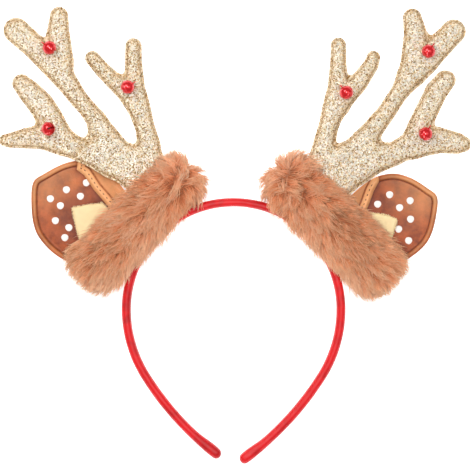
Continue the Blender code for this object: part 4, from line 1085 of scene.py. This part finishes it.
def make_ear(side, ear):
    """The leather sheet, its flap, their stitches and the printed dots."""
    own = ear.own
    brown = kept("stitched_leather", leather)
    stitched = own.hem + HEM_STITCH_IN

    def tones(corners, edge, hem_width, painted_highlight, shaded):
        """How far each corner's colour goes to the painted highlight and to the painted shade."""
        along, across = ear.shares(corners[:, :2])
        # painted highlight along the hem's ridge and over the upper tip; painted shade along the
        # stitch line inside it
        hem = np.exp(-((edge + hem_width / 2) / (0.45 * hem_width)) ** 2)
        seam = 0.9 * np.exp(-((edge + hem_width + HEM_STITCH_IN) / (0.36 * MM)) ** 2)
        sheen = painted_highlight + 0.42 * step_between(0.45, 0.9, along) * step_between(-0.3, 0.2, across)
        shade = np.clip(seam + shaded, 0, 1)
        return np.column_stack([np.clip(0.34 * hem + sheen * (1 - shade), 0, 1), shade])

    def face_shadow_and_mottle(corners):
        """The face is darker beside the felt and under the flap's loose edge, as painted shadow, and
        in a random mottle.
        """
        beside = np.clip(ear.patch_field(corners[:, :2]), 0, None)
        under = np.clip(ear.flap_line(corners[:, :2]), 0, None)
        cloud = 0.5 + 0.5 * lattice_noise(corners[:, :2], 8 * MM, 28)
        return (0.75 * np.exp(-beside / (6 * MM)) * (0.5 + 0.5 * cloud)
                + 0.7 * np.exp(-under / (2.6 * MM)) + 0.25 * cloud)

    corners, faces = layer(ear.field, ear.low, ear.high, ear.box, own.cell, bulge=0.5 * MM,
                           rim_rows=3, lines=(-stitched,))
    uv = tones(corners, ear.field(corners[:, :2]), own.hem, 0.0, face_shadow_and_mottle(corners))
    sheet = piece("ear_leather_" + side, (corners, faces, uv), brown,
                  ["ear_" + side])

    corners, faces = layer(ear.flap_field, ear.flap_low, ear.flap_high, ear.box, own.cell,
                           bulge=0.6 * MM, rim_rows=3)
    # the flap is lighter all over, as painted highlight
    uv = tones(corners, ear.flap_line(corners[:, :2]), own.flap_hem, 0.62, 0.0)
    flap = piece("ear_flap_" + side, (corners, faces, uv), brown)

    line = even_points(ear.fold, 3.0 * MM)
    line = line - own.flap_hem / 2 * slope_of(ear.flap_line, line, 0.5 * MM)
    line = line[ear.field(line) < -1.0 * MM]
    rim = walk(ear.field, -stitched, ear.place([(0.85, -0.2)])[0], 2.7 * MM, 0.4 * MM)
    centres = np.array(DOTS[side]) * MM + hoop_centre()
    threads = [seam_threads("ear_flap_stitches_" + side, line, ear.flap_high, 0.75 * MM, 0.0, 0.45),
               seam_threads("ear_hem_stitches_" + side, rim, ear.high, 0.5 * MM, 0.05 * MM, 0.7),
               make_dots(side, ear, centres)]
    area = abs(polygon_area(ear.rim))


def polygon_area(loop):
    """Area inside a closed line."""
    x, y = loop.T
    return (x * np.roll(y, -1) - y * np.roll(x, -1)).sum() / 2


def make_dots(side, ear, centres):
    """Printed dots: thin round lenses that lie on the leather, on a grid of radius and angle."""
    share, angle = np.array([0.35, 0.7, 0.93, 1.0]), circle(28)
    wobble = 1 + 0.03 * np.sin(3 * angle)
    ring = (share[:, None, None] * ear.own.dot * wobble[None, :, None]
            * np.stack([np.cos(angle), np.sin(angle)], -1))
    flat = centres[:, None, None, :] + ring[None]
    lift = np.array([0.09, 0.09, 0.07, -0.15]) * MM
    z = ear.high(flat.reshape(-1, 2)).reshape(flat.shape[:-1]) + lift[None, :, None]
    rings = np.concatenate([flat, z[..., None]], -1).reshape(len(centres), -1, 3)
    poles = [np.column_stack([centres, ear.high(centres) + rise * MM])[:, None]
             for rise in (0.09, -0.4)]
    corners = np.concatenate([rings] + poles, 1)
    faces = reversed_faces(many(tube_faces(4, 28), len(centres), corners.shape[1]))
    return piece("ear_dots_" + side, (corners.reshape(-1, 3), faces),
                 kept("dot_print", plain, "dot_print", srgb("FBF7F2"), 0.5))


def make_patch(side, ear):
    """The felt patch: a soft slab on the ear's face with a ragged cut edge and loose fibres."""
    own = settings("patch")
    box = ear.patch.min(0), ear.patch.max(0)
    cream = kept("cut_felt", felt)
    slab = piece("felt_patch_" + side,
                 layer(ear.patch_field, ear.patch_low, ear.patch_high, box, own.cell, bulge=0.3 * MM),
                 cream, ["ear_patch_" + side])
    rng = np.random.default_rng(31)
    a = ear.patch
    b = np.roll(a, -1, 0)
    length = np.linalg.norm(b - a, axis=1)
    pick = rng.choice(len(a), FELT_FIBRES, p=length / length.sum())
    share = rng.uniform(0, 1, (FELT_FIBRES, 1))
    roots = a[pick] + share * (b - a)[pick]
    outward = unit(slope_of(ear.patch_field, roots, 0.5 * MM))
    angle = rng.uniform(-1.1, 1.1, FELT_FIBRES)
    turned = np.stack([outward[:, 0] * np.cos(angle) - outward[:, 1] * np.sin(angle),
                       outward[:, 0] * np.sin(angle) + outward[:, 1] * np.cos(angle)], 1)
    reach = rng.uniform(0.6, 1.5, (FELT_FIBRES, 1)) * MM

    def height(points):
        return ear.patch_low(points) + own.felt * 0.55 + 0.1 * MM

    fibres = stitches(roots - 0.3 * MM * turned, roots + reach * turned, height,
                      0.12 * MM, 0.15 * MM)
    fuzz = piece("felt_fibres_" + side, fibres, cream)
    area = abs(polygon_area(ear.patch))
    span = np.ptp(ear.patch, axis=0)


# The fur cuffs


class Cuff:
    """A roll with round ends: points from a run along it and a turn round it."""

    def __init__(self, side, angle, radius, turn, long, wide):
        sign, turn = SIGNS[side], math.radians(turn)
        self.side, self.sign = side, sign
        self.own = settings("fur")
        self.centre = seat(angle, sign, radius * CROWN_RADIUS)
        self.down = np.array([sign * math.cos(turn), -math.sin(turn)])
        self.out = np.array([sign * math.sin(turn), math.cos(turn)])
        self.half = CUFF_WIDTH * wide / 2
        self.length = CUFF_LENGTH * long + 2 * self.half
        self.rise = CUFF_HEIGHT / 2
        self.z = self.rise - CUFF_FLAT

    def surface(self, run, turn, inset):
        """The roll's surface, moved in by an inset: an ellipse whose size falls off at both ends."""
        run, turn = np.broadcast_arrays(np.asarray(run, float), np.asarray(turn, float))
        half, rise = self.half - inset, self.rise - inset
        length = self.length - 2 * inset
        near = np.clip(np.minimum(run, 1 - run) * length, 1e-5, None)
        size = np.clip(1 - np.clip(1 - near / half, 0, 1) ** 2.6, 0, 1) ** (1 / 2.2)
        flat = self.centre + ((run - 0.5) * length)[..., None] * self.down
        flat = flat + (half * size * np.cos(turn))[..., None] * self.out
        z = np.maximum(self.z + rise * size * np.sin(turn), 0.3 * MM)
        return np.concatenate([flat, z[..., None]], -1)

    def frame(self, run, turn, inset):
        """The surface point and its outward normal."""
        here = self.surface(run, turn, inset)
        along = (self.surface(np.clip(run + 0.004, 0, 1), turn, inset)
                 - self.surface(np.clip(run - 0.004, 0, 1), turn, inset))
        round_it = self.surface(run, turn + 0.03, inset) - self.surface(run, turn - 0.03, inset)
        normal = np.cross(along, round_it)
        middle = np.append(self.centre, self.z)
        normal *= np.sign((normal * (here - middle)).sum(-1, keepdims=True))
        return here, unit(normal)

    def backing(self):
        """The cloth roll that the pile grows from."""
        rings, around, inset = 60, 48, self.own.pile + CUFF_CLOTH
        run = 0.5 - 0.5 * np.cos(np.linspace(0.03, np.pi - 0.03, rings))
        grid = self.surface(run[:, None], circle(around)[None], inset)
        grid[..., 2] = np.maximum(grid[..., 2], 1.0 * MM)
        ends = np.full((2, 3), self.z)
        ends[:, :2] = self.centre + np.outer([-0.5, 0.5], self.down) * (self.length - 2 * inset)
        faces = tube_faces(rings, around)
        if self.sign < 0:
            faces = reversed_faces(faces)
        made = piece("fur_backing_" + self.side, (np.concatenate([grid.reshape(-1, 3), ends]), faces),
                     kept("fur_backing", pile_backing), ["fur_cuff_" + self.side])

    def tufts(self, count, rng):
        """Places of tufts, even over the surface: a share of the profile's arc and of the turn."""
        run = np.linspace(0, 1, 2001)
        edge = self.surface(run, 0.0, self.own.pile)
        away = np.abs((edge[:, :2] - self.centre) @ self.out)
        arc = run_of(edge)
        weight = np.concatenate([[0], np.cumsum(np.diff(arc) * (away[1:] + away[:-1]) / 2)])
        # golden-ratio spiral: even spacing without rows
        k = np.arange(count) + 0.5
        at = np.interp(k / count * weight[-1], weight, run)
        turn = (k * 2 * np.pi * 0.6180339887) % (2 * np.pi)
        return at + rng.normal(0, 0.003, count), turn + rng.normal(0, 0.05, count)

    def lean(self, root, normal, turn, rng):
        """The way that each tuft leans, away from the whorl and down the roll, and how far it is."""
        whorl, _ = self.frame(np.array([WHORL_RUN]), np.array([WHORL_TURN]), self.own.pile)
        away = root - whorl
        far = np.linalg.norm(away, axis=1, keepdims=True)
        down = 0.25 + 0.45 * step_between(12 * MM, 55 * MM, far)
        ahead = away / (far + 9 * MM) + np.append(self.down, 0.0) * down
        ahead = ahead + 0.55 * np.cos(turn)[:, None] * np.append(self.out, 0.0)
        near_whorl = np.exp(-(far / WHORL_REACH) ** 2)
        ahead = ahead + (0.2 + 0.7 * near_whorl) * rng.normal(0, 1, ahead.shape)
        ahead -= normal * (ahead * normal).sum(1, keepdims=True)
        return unit(ahead), far[:, 0]

    def spines(self, root, normal, ahead, far, shorter, rng):
        """The middle lines of the strands of each tuft.

        A strand leaves its root at p, goes forward along t by L cos(a) s and up
        along the normal by L sin(a) (s - s^2 / 3) less the roll's own fall, and
        draws in to its tuft's middle by a power of its share s.
        """
        own, s = self.own, STRAND_SHARES
        axis = np.append(self.down, 0.0)
        cap = np.abs((normal * axis).sum(1))
        round_way = np.abs((ahead * np.cross(axis, normal)).sum(1))
        fall = round_way ** 2 / (self.half - own.pile) + 0.5 * cap / self.half
        lay = np.radians(30 + 6 * rng.normal(0, 1, len(root)) + 10 * cap ** 2
                         - 3 * np.exp(-(far / WHORL_REACH) ** 2))
        long = own.strand * shorter * rng.uniform(0.75, 1.15, len(root))
        curl = rng.normal(0, 0.1, len(root))

        shape = (len(root), own.strands)
        off = rng.normal(0, 0.47 * own.tuft, shape + (2,))
        length = long[:, None] * rng.uniform(0.55, 1.12, shape)
        tilt = lay[:, None] + np.radians(rng.normal(0, 6, shape)
                                         + 20 * (rng.uniform(0, 1, shape) < 0.07))
        bend = curl[:, None] + rng.normal(0, 0.07, shape)
        forward = length[..., None] * np.cos(tilt)[..., None] * s
        up = (length[..., None] * np.sin(tilt)[..., None] * (s - s ** 2 / 3)
              - 0.5 * fall[:, None, None] * forward ** 2)
        side = bend[..., None] * length[..., None] * s ** 2
        draw = 1 - 0.72 * s ** 1.5
        aside = np.cross(normal, ahead)
        t, b, n = ahead[:, None, None], aside[:, None, None], normal[:, None, None]
        spine = (root[:, None, None] + t * (forward + off[..., :1] * draw)[..., None]
                 + b * (side + off[..., 1:] * draw)[..., None] + n * (up - 0.4 * MM)[..., None])
        spine = spine.reshape(-1, 4, 3)
        floor = rng.uniform(0.1, 0.9, (len(spine), 1)) * MM
        spine[..., 2] = np.where(spine[..., 2] < floor + 0.3 * MM, floor, spine[..., 2])
        return spine

    def bodies(self, spine, lifted, rng):
        """Tapered three-sided strands round their middle lines."""
        along = unit(np.gradient(spine, axis=1))
        cross = unit(np.cross(along, lifted[:, None]))
        over = np.cross(cross, along)
        width = self.own.width / 2 * rng.uniform(0.75, 1.2, (len(spine), 1)) * STRAND_TAPER
        angle = (circle(3) + np.pi / 2)[:, None]
        ring = (spine[:, :3, None] + width[..., None, None]
                * (np.cos(angle) * cross[:, :3, None] + np.sin(angle) * over[:, :3, None]))
        corners = np.concatenate([ring.reshape(len(spine), 9, 3), spine[:, 3:]], 1)
        ends = np.array([(0, 2, 1), (6, 7, 9), (7, 8, 9), (8, 6, 9)])
        faces = many(tube_faces(3, 3, closed_ends=False) + [ends], len(spine), 10)
        return corners.reshape(-1, 3), faces

    def tones(self, root, run, turn, far, rng):
        """How pale each strand is: in random patches, and paler at the inner side and at both ends as
        painted highlight.
        """
        tone = (0.36 + 0.16 * lattice_noise(root, 11 * MM, 41)
                + 0.18 * lattice_noise(root, 4 * MM, 42))
        # painted highlight: paler on the inner side and at both ends of the roll
        inner = np.clip(-np.cos(turn) - 0.25, 0, 1)
        tone = tone + 0.6 * inner * step_between(8 * MM, 30 * MM, far)
        tone = tone + 0.22 * step_between(0.86, 1.0, run) + 0.26 * (1 - step_between(0.02, 0.26, run))
        shape = (len(run), self.own.strands)
        tone = (tone + rng.normal(0, 0.1, len(run)))[:, None] + rng.normal(0, 0.1, shape)
        return np.clip(tone, 0.02, 0.98).reshape(-1, 1)

    def strands(self, name, seed, count, keep, shorter=1.0):
        """The fur on the part of the roll that keep() picks by its turn, in tufts."""
        rng = np.random.default_rng(seed)
        run, turn = self.tufts(count, rng)
        chosen = keep(turn)
        run, turn = run[chosen], turn[chosen]
        root, normal = self.frame(np.clip(run, 0.001, 0.999), turn, self.own.pile)
        ahead, far = self.lean(root, normal, turn, rng)
        spine = self.spines(root, normal, ahead, far, shorter, rng)
        corners, faces = self.bodies(spine, np.repeat(normal, self.own.strands, 0), rng)
        tone = self.tones(root, run, turn, far, rng)
        share = np.repeat(STRAND_SHARES, (3, 3, 3, 1))[None]
        uv = np.stack(np.broadcast_arrays(tone, share * 0.98 + 0.01), -1).reshape(-1, 2)
        return piece(name, (corners, faces, uv), kept("fur_pile", fur))


# The bells


def turned(radius, z, around):
    """A solid of revolution: a profile carried round Z, with a corner at each end."""
    angle = circle(around)
    rings = np.stack([radius[1:-1, None] * np.cos(angle), radius[1:-1, None] * np.sin(angle),
                      np.broadcast_to(z[1:-1, None], (len(z) - 2, around))], -1)
    ends = [[0, 0, z[0]], [0, 0, z[-1]]]
    return np.concatenate([rings.reshape(-1, 3), ends]), tube_faces(len(z) - 2, around)


def bell_form():
    """The bell: a ball with a pressed rim, its hollow and cross slots cut out, and a wire loop."""
    own = settings("bell")
    radius = own.diameter / 2
    fine, coarse = (np.linspace(np.pi / 2, -np.pi / 2, count) for count in (31, 17))
    size = radius * (0.985 + 0.04 * np.exp(-(fine / 0.055) ** 2))
    made = placed("bell_form", solid("bell_form", *turned(np.cos(fine) * size,
                                                          np.sin(fine) * size, 44)))
    size = radius - own.wall
    inner = solid("bell_hollow", *turned(np.cos(coarse) * size, np.sin(coarse) * size, 28))
    tools = [("bell_hollow", inner, 'DIFFERENCE')]
    for name, turn in (("bell_slot_a", 0.0), ("bell_slot_b", np.pi / 2)):
        tools.append((name, slot_tool(name, own, radius, turn), 'DIFFERENCE'))
    tools.append(("bell_loop", wire_loop(own, radius), 'UNION'))
    for name, mesh, operation in tools:
        step = made.modifiers.new(name, 'BOOLEAN')
        step.operation, step.solver, step.object = operation, 'EXACT', placed(name, mesh)
    graph = bpy.context.evaluated_depsgraph_get()
    mesh = bpy.data.meshes.new_from_object(made.evaluated_get(graph))
    for step in list(made.modifiers):
        bpy.data.objects.remove(step.object)
    bpy.data.objects.remove(made)
    mesh.set_sharp_from_angle(angle=math.radians(40))
    return mesh


def wire_loop(own, radius):
    """The loop that a bell is sewn on by: a ring on its pole, on a grid of two angles."""
    u, v = circle(24), circle(10)
    ring, wire = (own.loop - own.wire) / 2, own.wire / 2
    reach = ring + wire * np.cos(v)
    loop = np.stack([reach * np.cos(u)[:, None], np.broadcast_to(wire * np.sin(v), (24, 10)),
                     reach * np.sin(u)[:, None] + radius + ring - 0.8 * wire], -1)
    i, j = np.meshgrid(np.arange(24), np.arange(10), indexing="ij")
    after_i, after_j = (i + 1) % 24, (j + 1) % 10
    quads = np.stack([i * 10 + j, i * 10 + after_j, after_i * 10 + after_j, after_i * 10 + j], -1)
    return solid("bell_loop", loop.reshape(-1, 3), [quads.reshape(-1, 4)])


def slot_tool(name, own, radius, turn):
    """A bar with round ends, across the pole opposite the loop."""
    half, width = 0.72 * radius, own.slot / 2
    angle = np.linspace(-np.pi / 2, np.pi / 2, 7)
    right = np.column_stack([half + width * np.cos(angle), width * np.sin(angle)])
    outline = np.concatenate([right, -right])
    flat = outline @ np.array([[np.cos(turn), np.sin(turn)], [-np.sin(turn), np.cos(turn)]])
    levels = (-1.5 * radius, -0.45 * radius)
    corners = np.concatenate([np.column_stack([flat, np.full(len(flat), z)]) for z in levels]
                             + [[[0, 0, z] for z in levels]])
    return solid(name, corners, tube_faces(2, len(flat)))


def solid(name, corners, faces):
    """A closed mesh with its faces turned outwards, judged by its signed volume."""
    volume = 0.0
    for part in faces:
        a, b, c = (corners[part[:, k]] for k in (0, 1, 2))
        volume += (a * np.cross(b, c)).sum()
        if part.shape[1] == 4:
            d = corners[part[:, 3]]
            volume += (a * np.cross(c, d)).sum()
    return array_mesh(name, corners, reversed_faces(faces) if volume < 0 else faces)


def make_bell(name, form, antler, out, up, heading, tilt):
    """A bell turned and moved onto its antler, with the thread through its loop."""
    own = settings("bell")
    low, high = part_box(name.replace("bell", "pellet"))
    centre = np.append(antler.at(out, up), 0.0)
    drop = own.diameter / 2 - own.wall - PELLET_DIAMETER / 2 - 2 * GAP
    centre[2] = (low.z + high.z) / 2 + drop
    heading, tilt = math.radians(heading), math.radians(tilt)
    loop = Vector((math.cos(heading) * math.cos(tilt), math.sin(heading) * math.cos(tilt),
                   -math.sin(tilt)))
    turn = np.array(loop.to_track_quat('Z', 'X').to_matrix())
    mesh = form.copy()
    mesh.name = name + "_shell"
    corners = np.empty(len(mesh.vertices) * 3, np.float32)
    mesh.vertices.foreach_get("co", corners)
    corners = corners.reshape(-1, 3) @ turn.T + centre
    mesh.vertices.foreach_set("co", corners.astype(np.float32).ravel())
    mesh.update()
    red = kept("bell_paint", plain, "bell_paint", own.colour, 0.22, Metallic=0.38, Coat_Weight=0.5,
               Coat_Roughness=0.05)
    piece(name + "_shell", mesh, red, [name])
    # a thread through the loop's eye, down into the cloth on either side
    eye = centre + np.array(loop) * (own.diameter / 2 + own.loop / 2 - GAP)
    side = np.array([-math.sin(heading), math.cos(heading)])
    share = np.linspace(-1, 1, 13)
    path = np.empty((13, 3))
    path[:, :2] = eye[:2] + 1.5 * MM * share[:, None] * side
    cloth = antler.top(path[:, :2]) - 0.4 * MM
    path[:, 2] = cloth + (eye[2] - cloth) * (1 - share ** 4)
    name += "_thread"
    piece(name, solid(name, *cord(path, ANTLER_THREAD, 6)), gold_thread())


# The operators


def antlers():
    """Both antlers' forms, by side."""
    return {side: Antler(side) for side in SIGNS}


def ears():
    """Both ears' forms, by side."""
    return {side: Ear(side, *EARS[side]) for side in SIGNS}


class HEADBAND_OT_stage(bpy.types.Operator):
    """Pale floor, soft lights and a camera that looks straight at the front"""
    bl_idname = "headband.stage"
    bl_label = "Stage"

    def execute(self, context):
        own = settings("stage")
        context.scene.view_settings.view_transform = 'Standard'
        corners = [(x * FLOOR_REACH, y * FLOOR_REACH, -FLOOR_DROP)
                   for x, y in ((-1, -1), (1, -1), (1, 1), (-1, 1))]
        floor = placed("floor", array_mesh("floor", corners, [np.array([[0, 1, 2, 3]])]))
        white = plain("floor_white", own.floor, 0.9, Emission_Color=(1, 1, 1, 1),
                      Emission_Strength=FLOOR_GLOW)
        floor.data.materials.append(white)
        world = bpy.data.worlds.new("studio")
        world.use_nodes = True
        sky = world.node_tree.nodes["Background"].inputs
        sky["Color"].default_value = (1, 1, 1, 1)
        sky["Strength"].default_value = WORLD_STRENGTH
        context.scene.world = world
        for name, place, size, power in LIGHTS:
            lamp = bpy.data.lights.new(name, 'AREA')
            lamp.size, lamp.energy = size, power
            light = placed(name, lamp)
            light.location = place
            light.rotation_euler = (-Vector(place)).to_track_quat('-Z', 'Y').to_euler()
        lens = bpy.data.cameras.new("camera")
        lens.sensor_width = SENSOR
        lens.lens = SENSOR * own.distance / own.photo_width
        lens.clip_start, lens.clip_end = 0.01, 20.0
        camera = placed("camera", lens)
        camera.location = (0.0, 0.0, own.distance + 8 * MM)
        context.scene.camera = camera
        return {'FINISHED'}


class HEADBAND_OT_band(bpy.types.Operator):
    """The satin-covered band"""
    bl_idname = "headband.band"
    bl_label = "Band"

    def execute(self, context):
        make_band()
        return {'FINISHED'}


class HEADBAND_OT_antlers(bpy.types.Operator):
    """The two stuffed glitter antlers"""
    bl_idname = "headband.antlers"
    bl_label = "Antlers"

    def execute(self, context):
        for side, antler in antlers().items():
            make_antler(side, antler)
        return {'FINISHED'}


class HEADBAND_OT_fur(bpy.types.Operator):
    """The two fur cuffs"""
    bl_idname = "headband.fur"
    bl_label = "Fur cuffs"

    def execute(self, context):
        def on_face(turn):
            return np.sin(turn) > BACK_SINE

        for side, sign in SIGNS.items():
            cuff = Cuff(side, *CUFFS[side])
            cuff.backing()
            tufts = int(TUFT_AREA / cuff.own.tuft ** 2)
            cuff.strands("fur_outer_" + side, 51 + sign, tufts,
                         lambda turn: on_face(turn) & (np.cos(turn) > 0))
            cuff.strands("fur_inner_" + side, 51 + sign, tufts,
                         lambda turn: on_face(turn) & (np.cos(turn) <= 0))
            cuff.strands("fur_back_" + side, 61 + sign, int(0.5 * tufts),
                         lambda turn: ~on_face(turn), 0.85)
        return {'FINISHED'}


class HEADBAND_OT_ears(bpy.types.Operator):
    """The two leather ears with their flaps, stitches and dots"""
    bl_idname = "headband.ears"
    bl_label = "Ears"

    def execute(self, context):
        for side, ear in ears().items():
            make_ear(side, ear)
        return {'FINISHED'}


class HEADBAND_OT_patches(bpy.types.Operator):
    """The felt patches on the ears"""
    bl_idname = "headband.patches"
    bl_label = "Felt patches"

    def execute(self, context):
        for side, ear in ears().items():
            make_patch(side, ear)
        return {'FINISHED'}


class HEADBAND_OT_bells(bpy.types.Operator):
    """The six jingle bells and their pellets"""
    bl_idname = "headband.bells"
    bl_label = "Bells"

    def execute(self, context):
        form = bell_form()
        both = antlers()
        steel = plain("pellet_steel", (0.55, 0.55, 0.56), 0.28, Metallic=1.0)
        for name, side, out, up, heading, tilt in BELLS:
            make_bell(name, form, both[side], out, up, heading, tilt)
            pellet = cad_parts[name.replace("bell", "pellet")]
            pellet.data.materials.clear()
            pellet.data.materials.append(steel)
        bpy.data.meshes.remove(form)
        return {'FINISHED'}


class HEADBAND_PT_pieces(bpy.types.Panel):
    """Lists the headband's pieces and their sizes"""
    bl_idname = "HEADBAND_PT_pieces"
    bl_label = "Antler Headband"
    bl_space_type = 'VIEW_3D'
    bl_region_type = 'UI'
    bl_category = "Headband"

    def draw(self, context):
        for name, _, operator in PIECES:
            box = self.layout.box()
            box.operator(operator.bl_idname)
            group = settings(name)
            for prop in group.bl_rna.properties:
                if not prop.is_readonly and prop.identifier != "name":
                    box.prop(group, prop.identifier)


# Name, settings and operator, in the order that they are made in.
PIECES = (
    ("stage", StageSettings, HEADBAND_OT_stage),
    ("band", BandSettings, HEADBAND_OT_band),
    ("fur", FurSettings, HEADBAND_OT_fur),
    ("ear", EarSettings, HEADBAND_OT_ears),
    ("patch", PatchSettings, HEADBAND_OT_patches),
    ("antler", AntlerSettings, HEADBAND_OT_antlers),
    ("bell", BellSettings, HEADBAND_OT_bells),
)


def register():
    """Adds the settings, the operators and the panel."""
    for name, group, operator in PIECES:
        bpy.utils.register_class(group)
        setattr(bpy.types.Scene, "headband_" + name, PointerProperty(type=group))
        bpy.utils.register_class(operator)
    bpy.utils.register_class(HEADBAND_PT_pieces)


def unregister():
    """Takes them away again."""
    bpy.utils.unregister_class(HEADBAND_PT_pieces)
    for name, group, operator in reversed(PIECES):
        bpy.utils.unregister_class(operator)
        delattr(bpy.types.Scene, "headband_" + name)
        bpy.utils.unregister_class(group)


def main():
    """Makes the stage and every piece."""
    register()
    bpy.ops.headband.stage()
    bpy.ops.headband.band()
    bpy.ops.headband.fur()
    bpy.ops.headband.ears()
    bpy.ops.headband.patches()
    bpy.ops.headband.antlers()
    bpy.ops.headband.bells()
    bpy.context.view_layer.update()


if __name__ == "__main__":
    main()
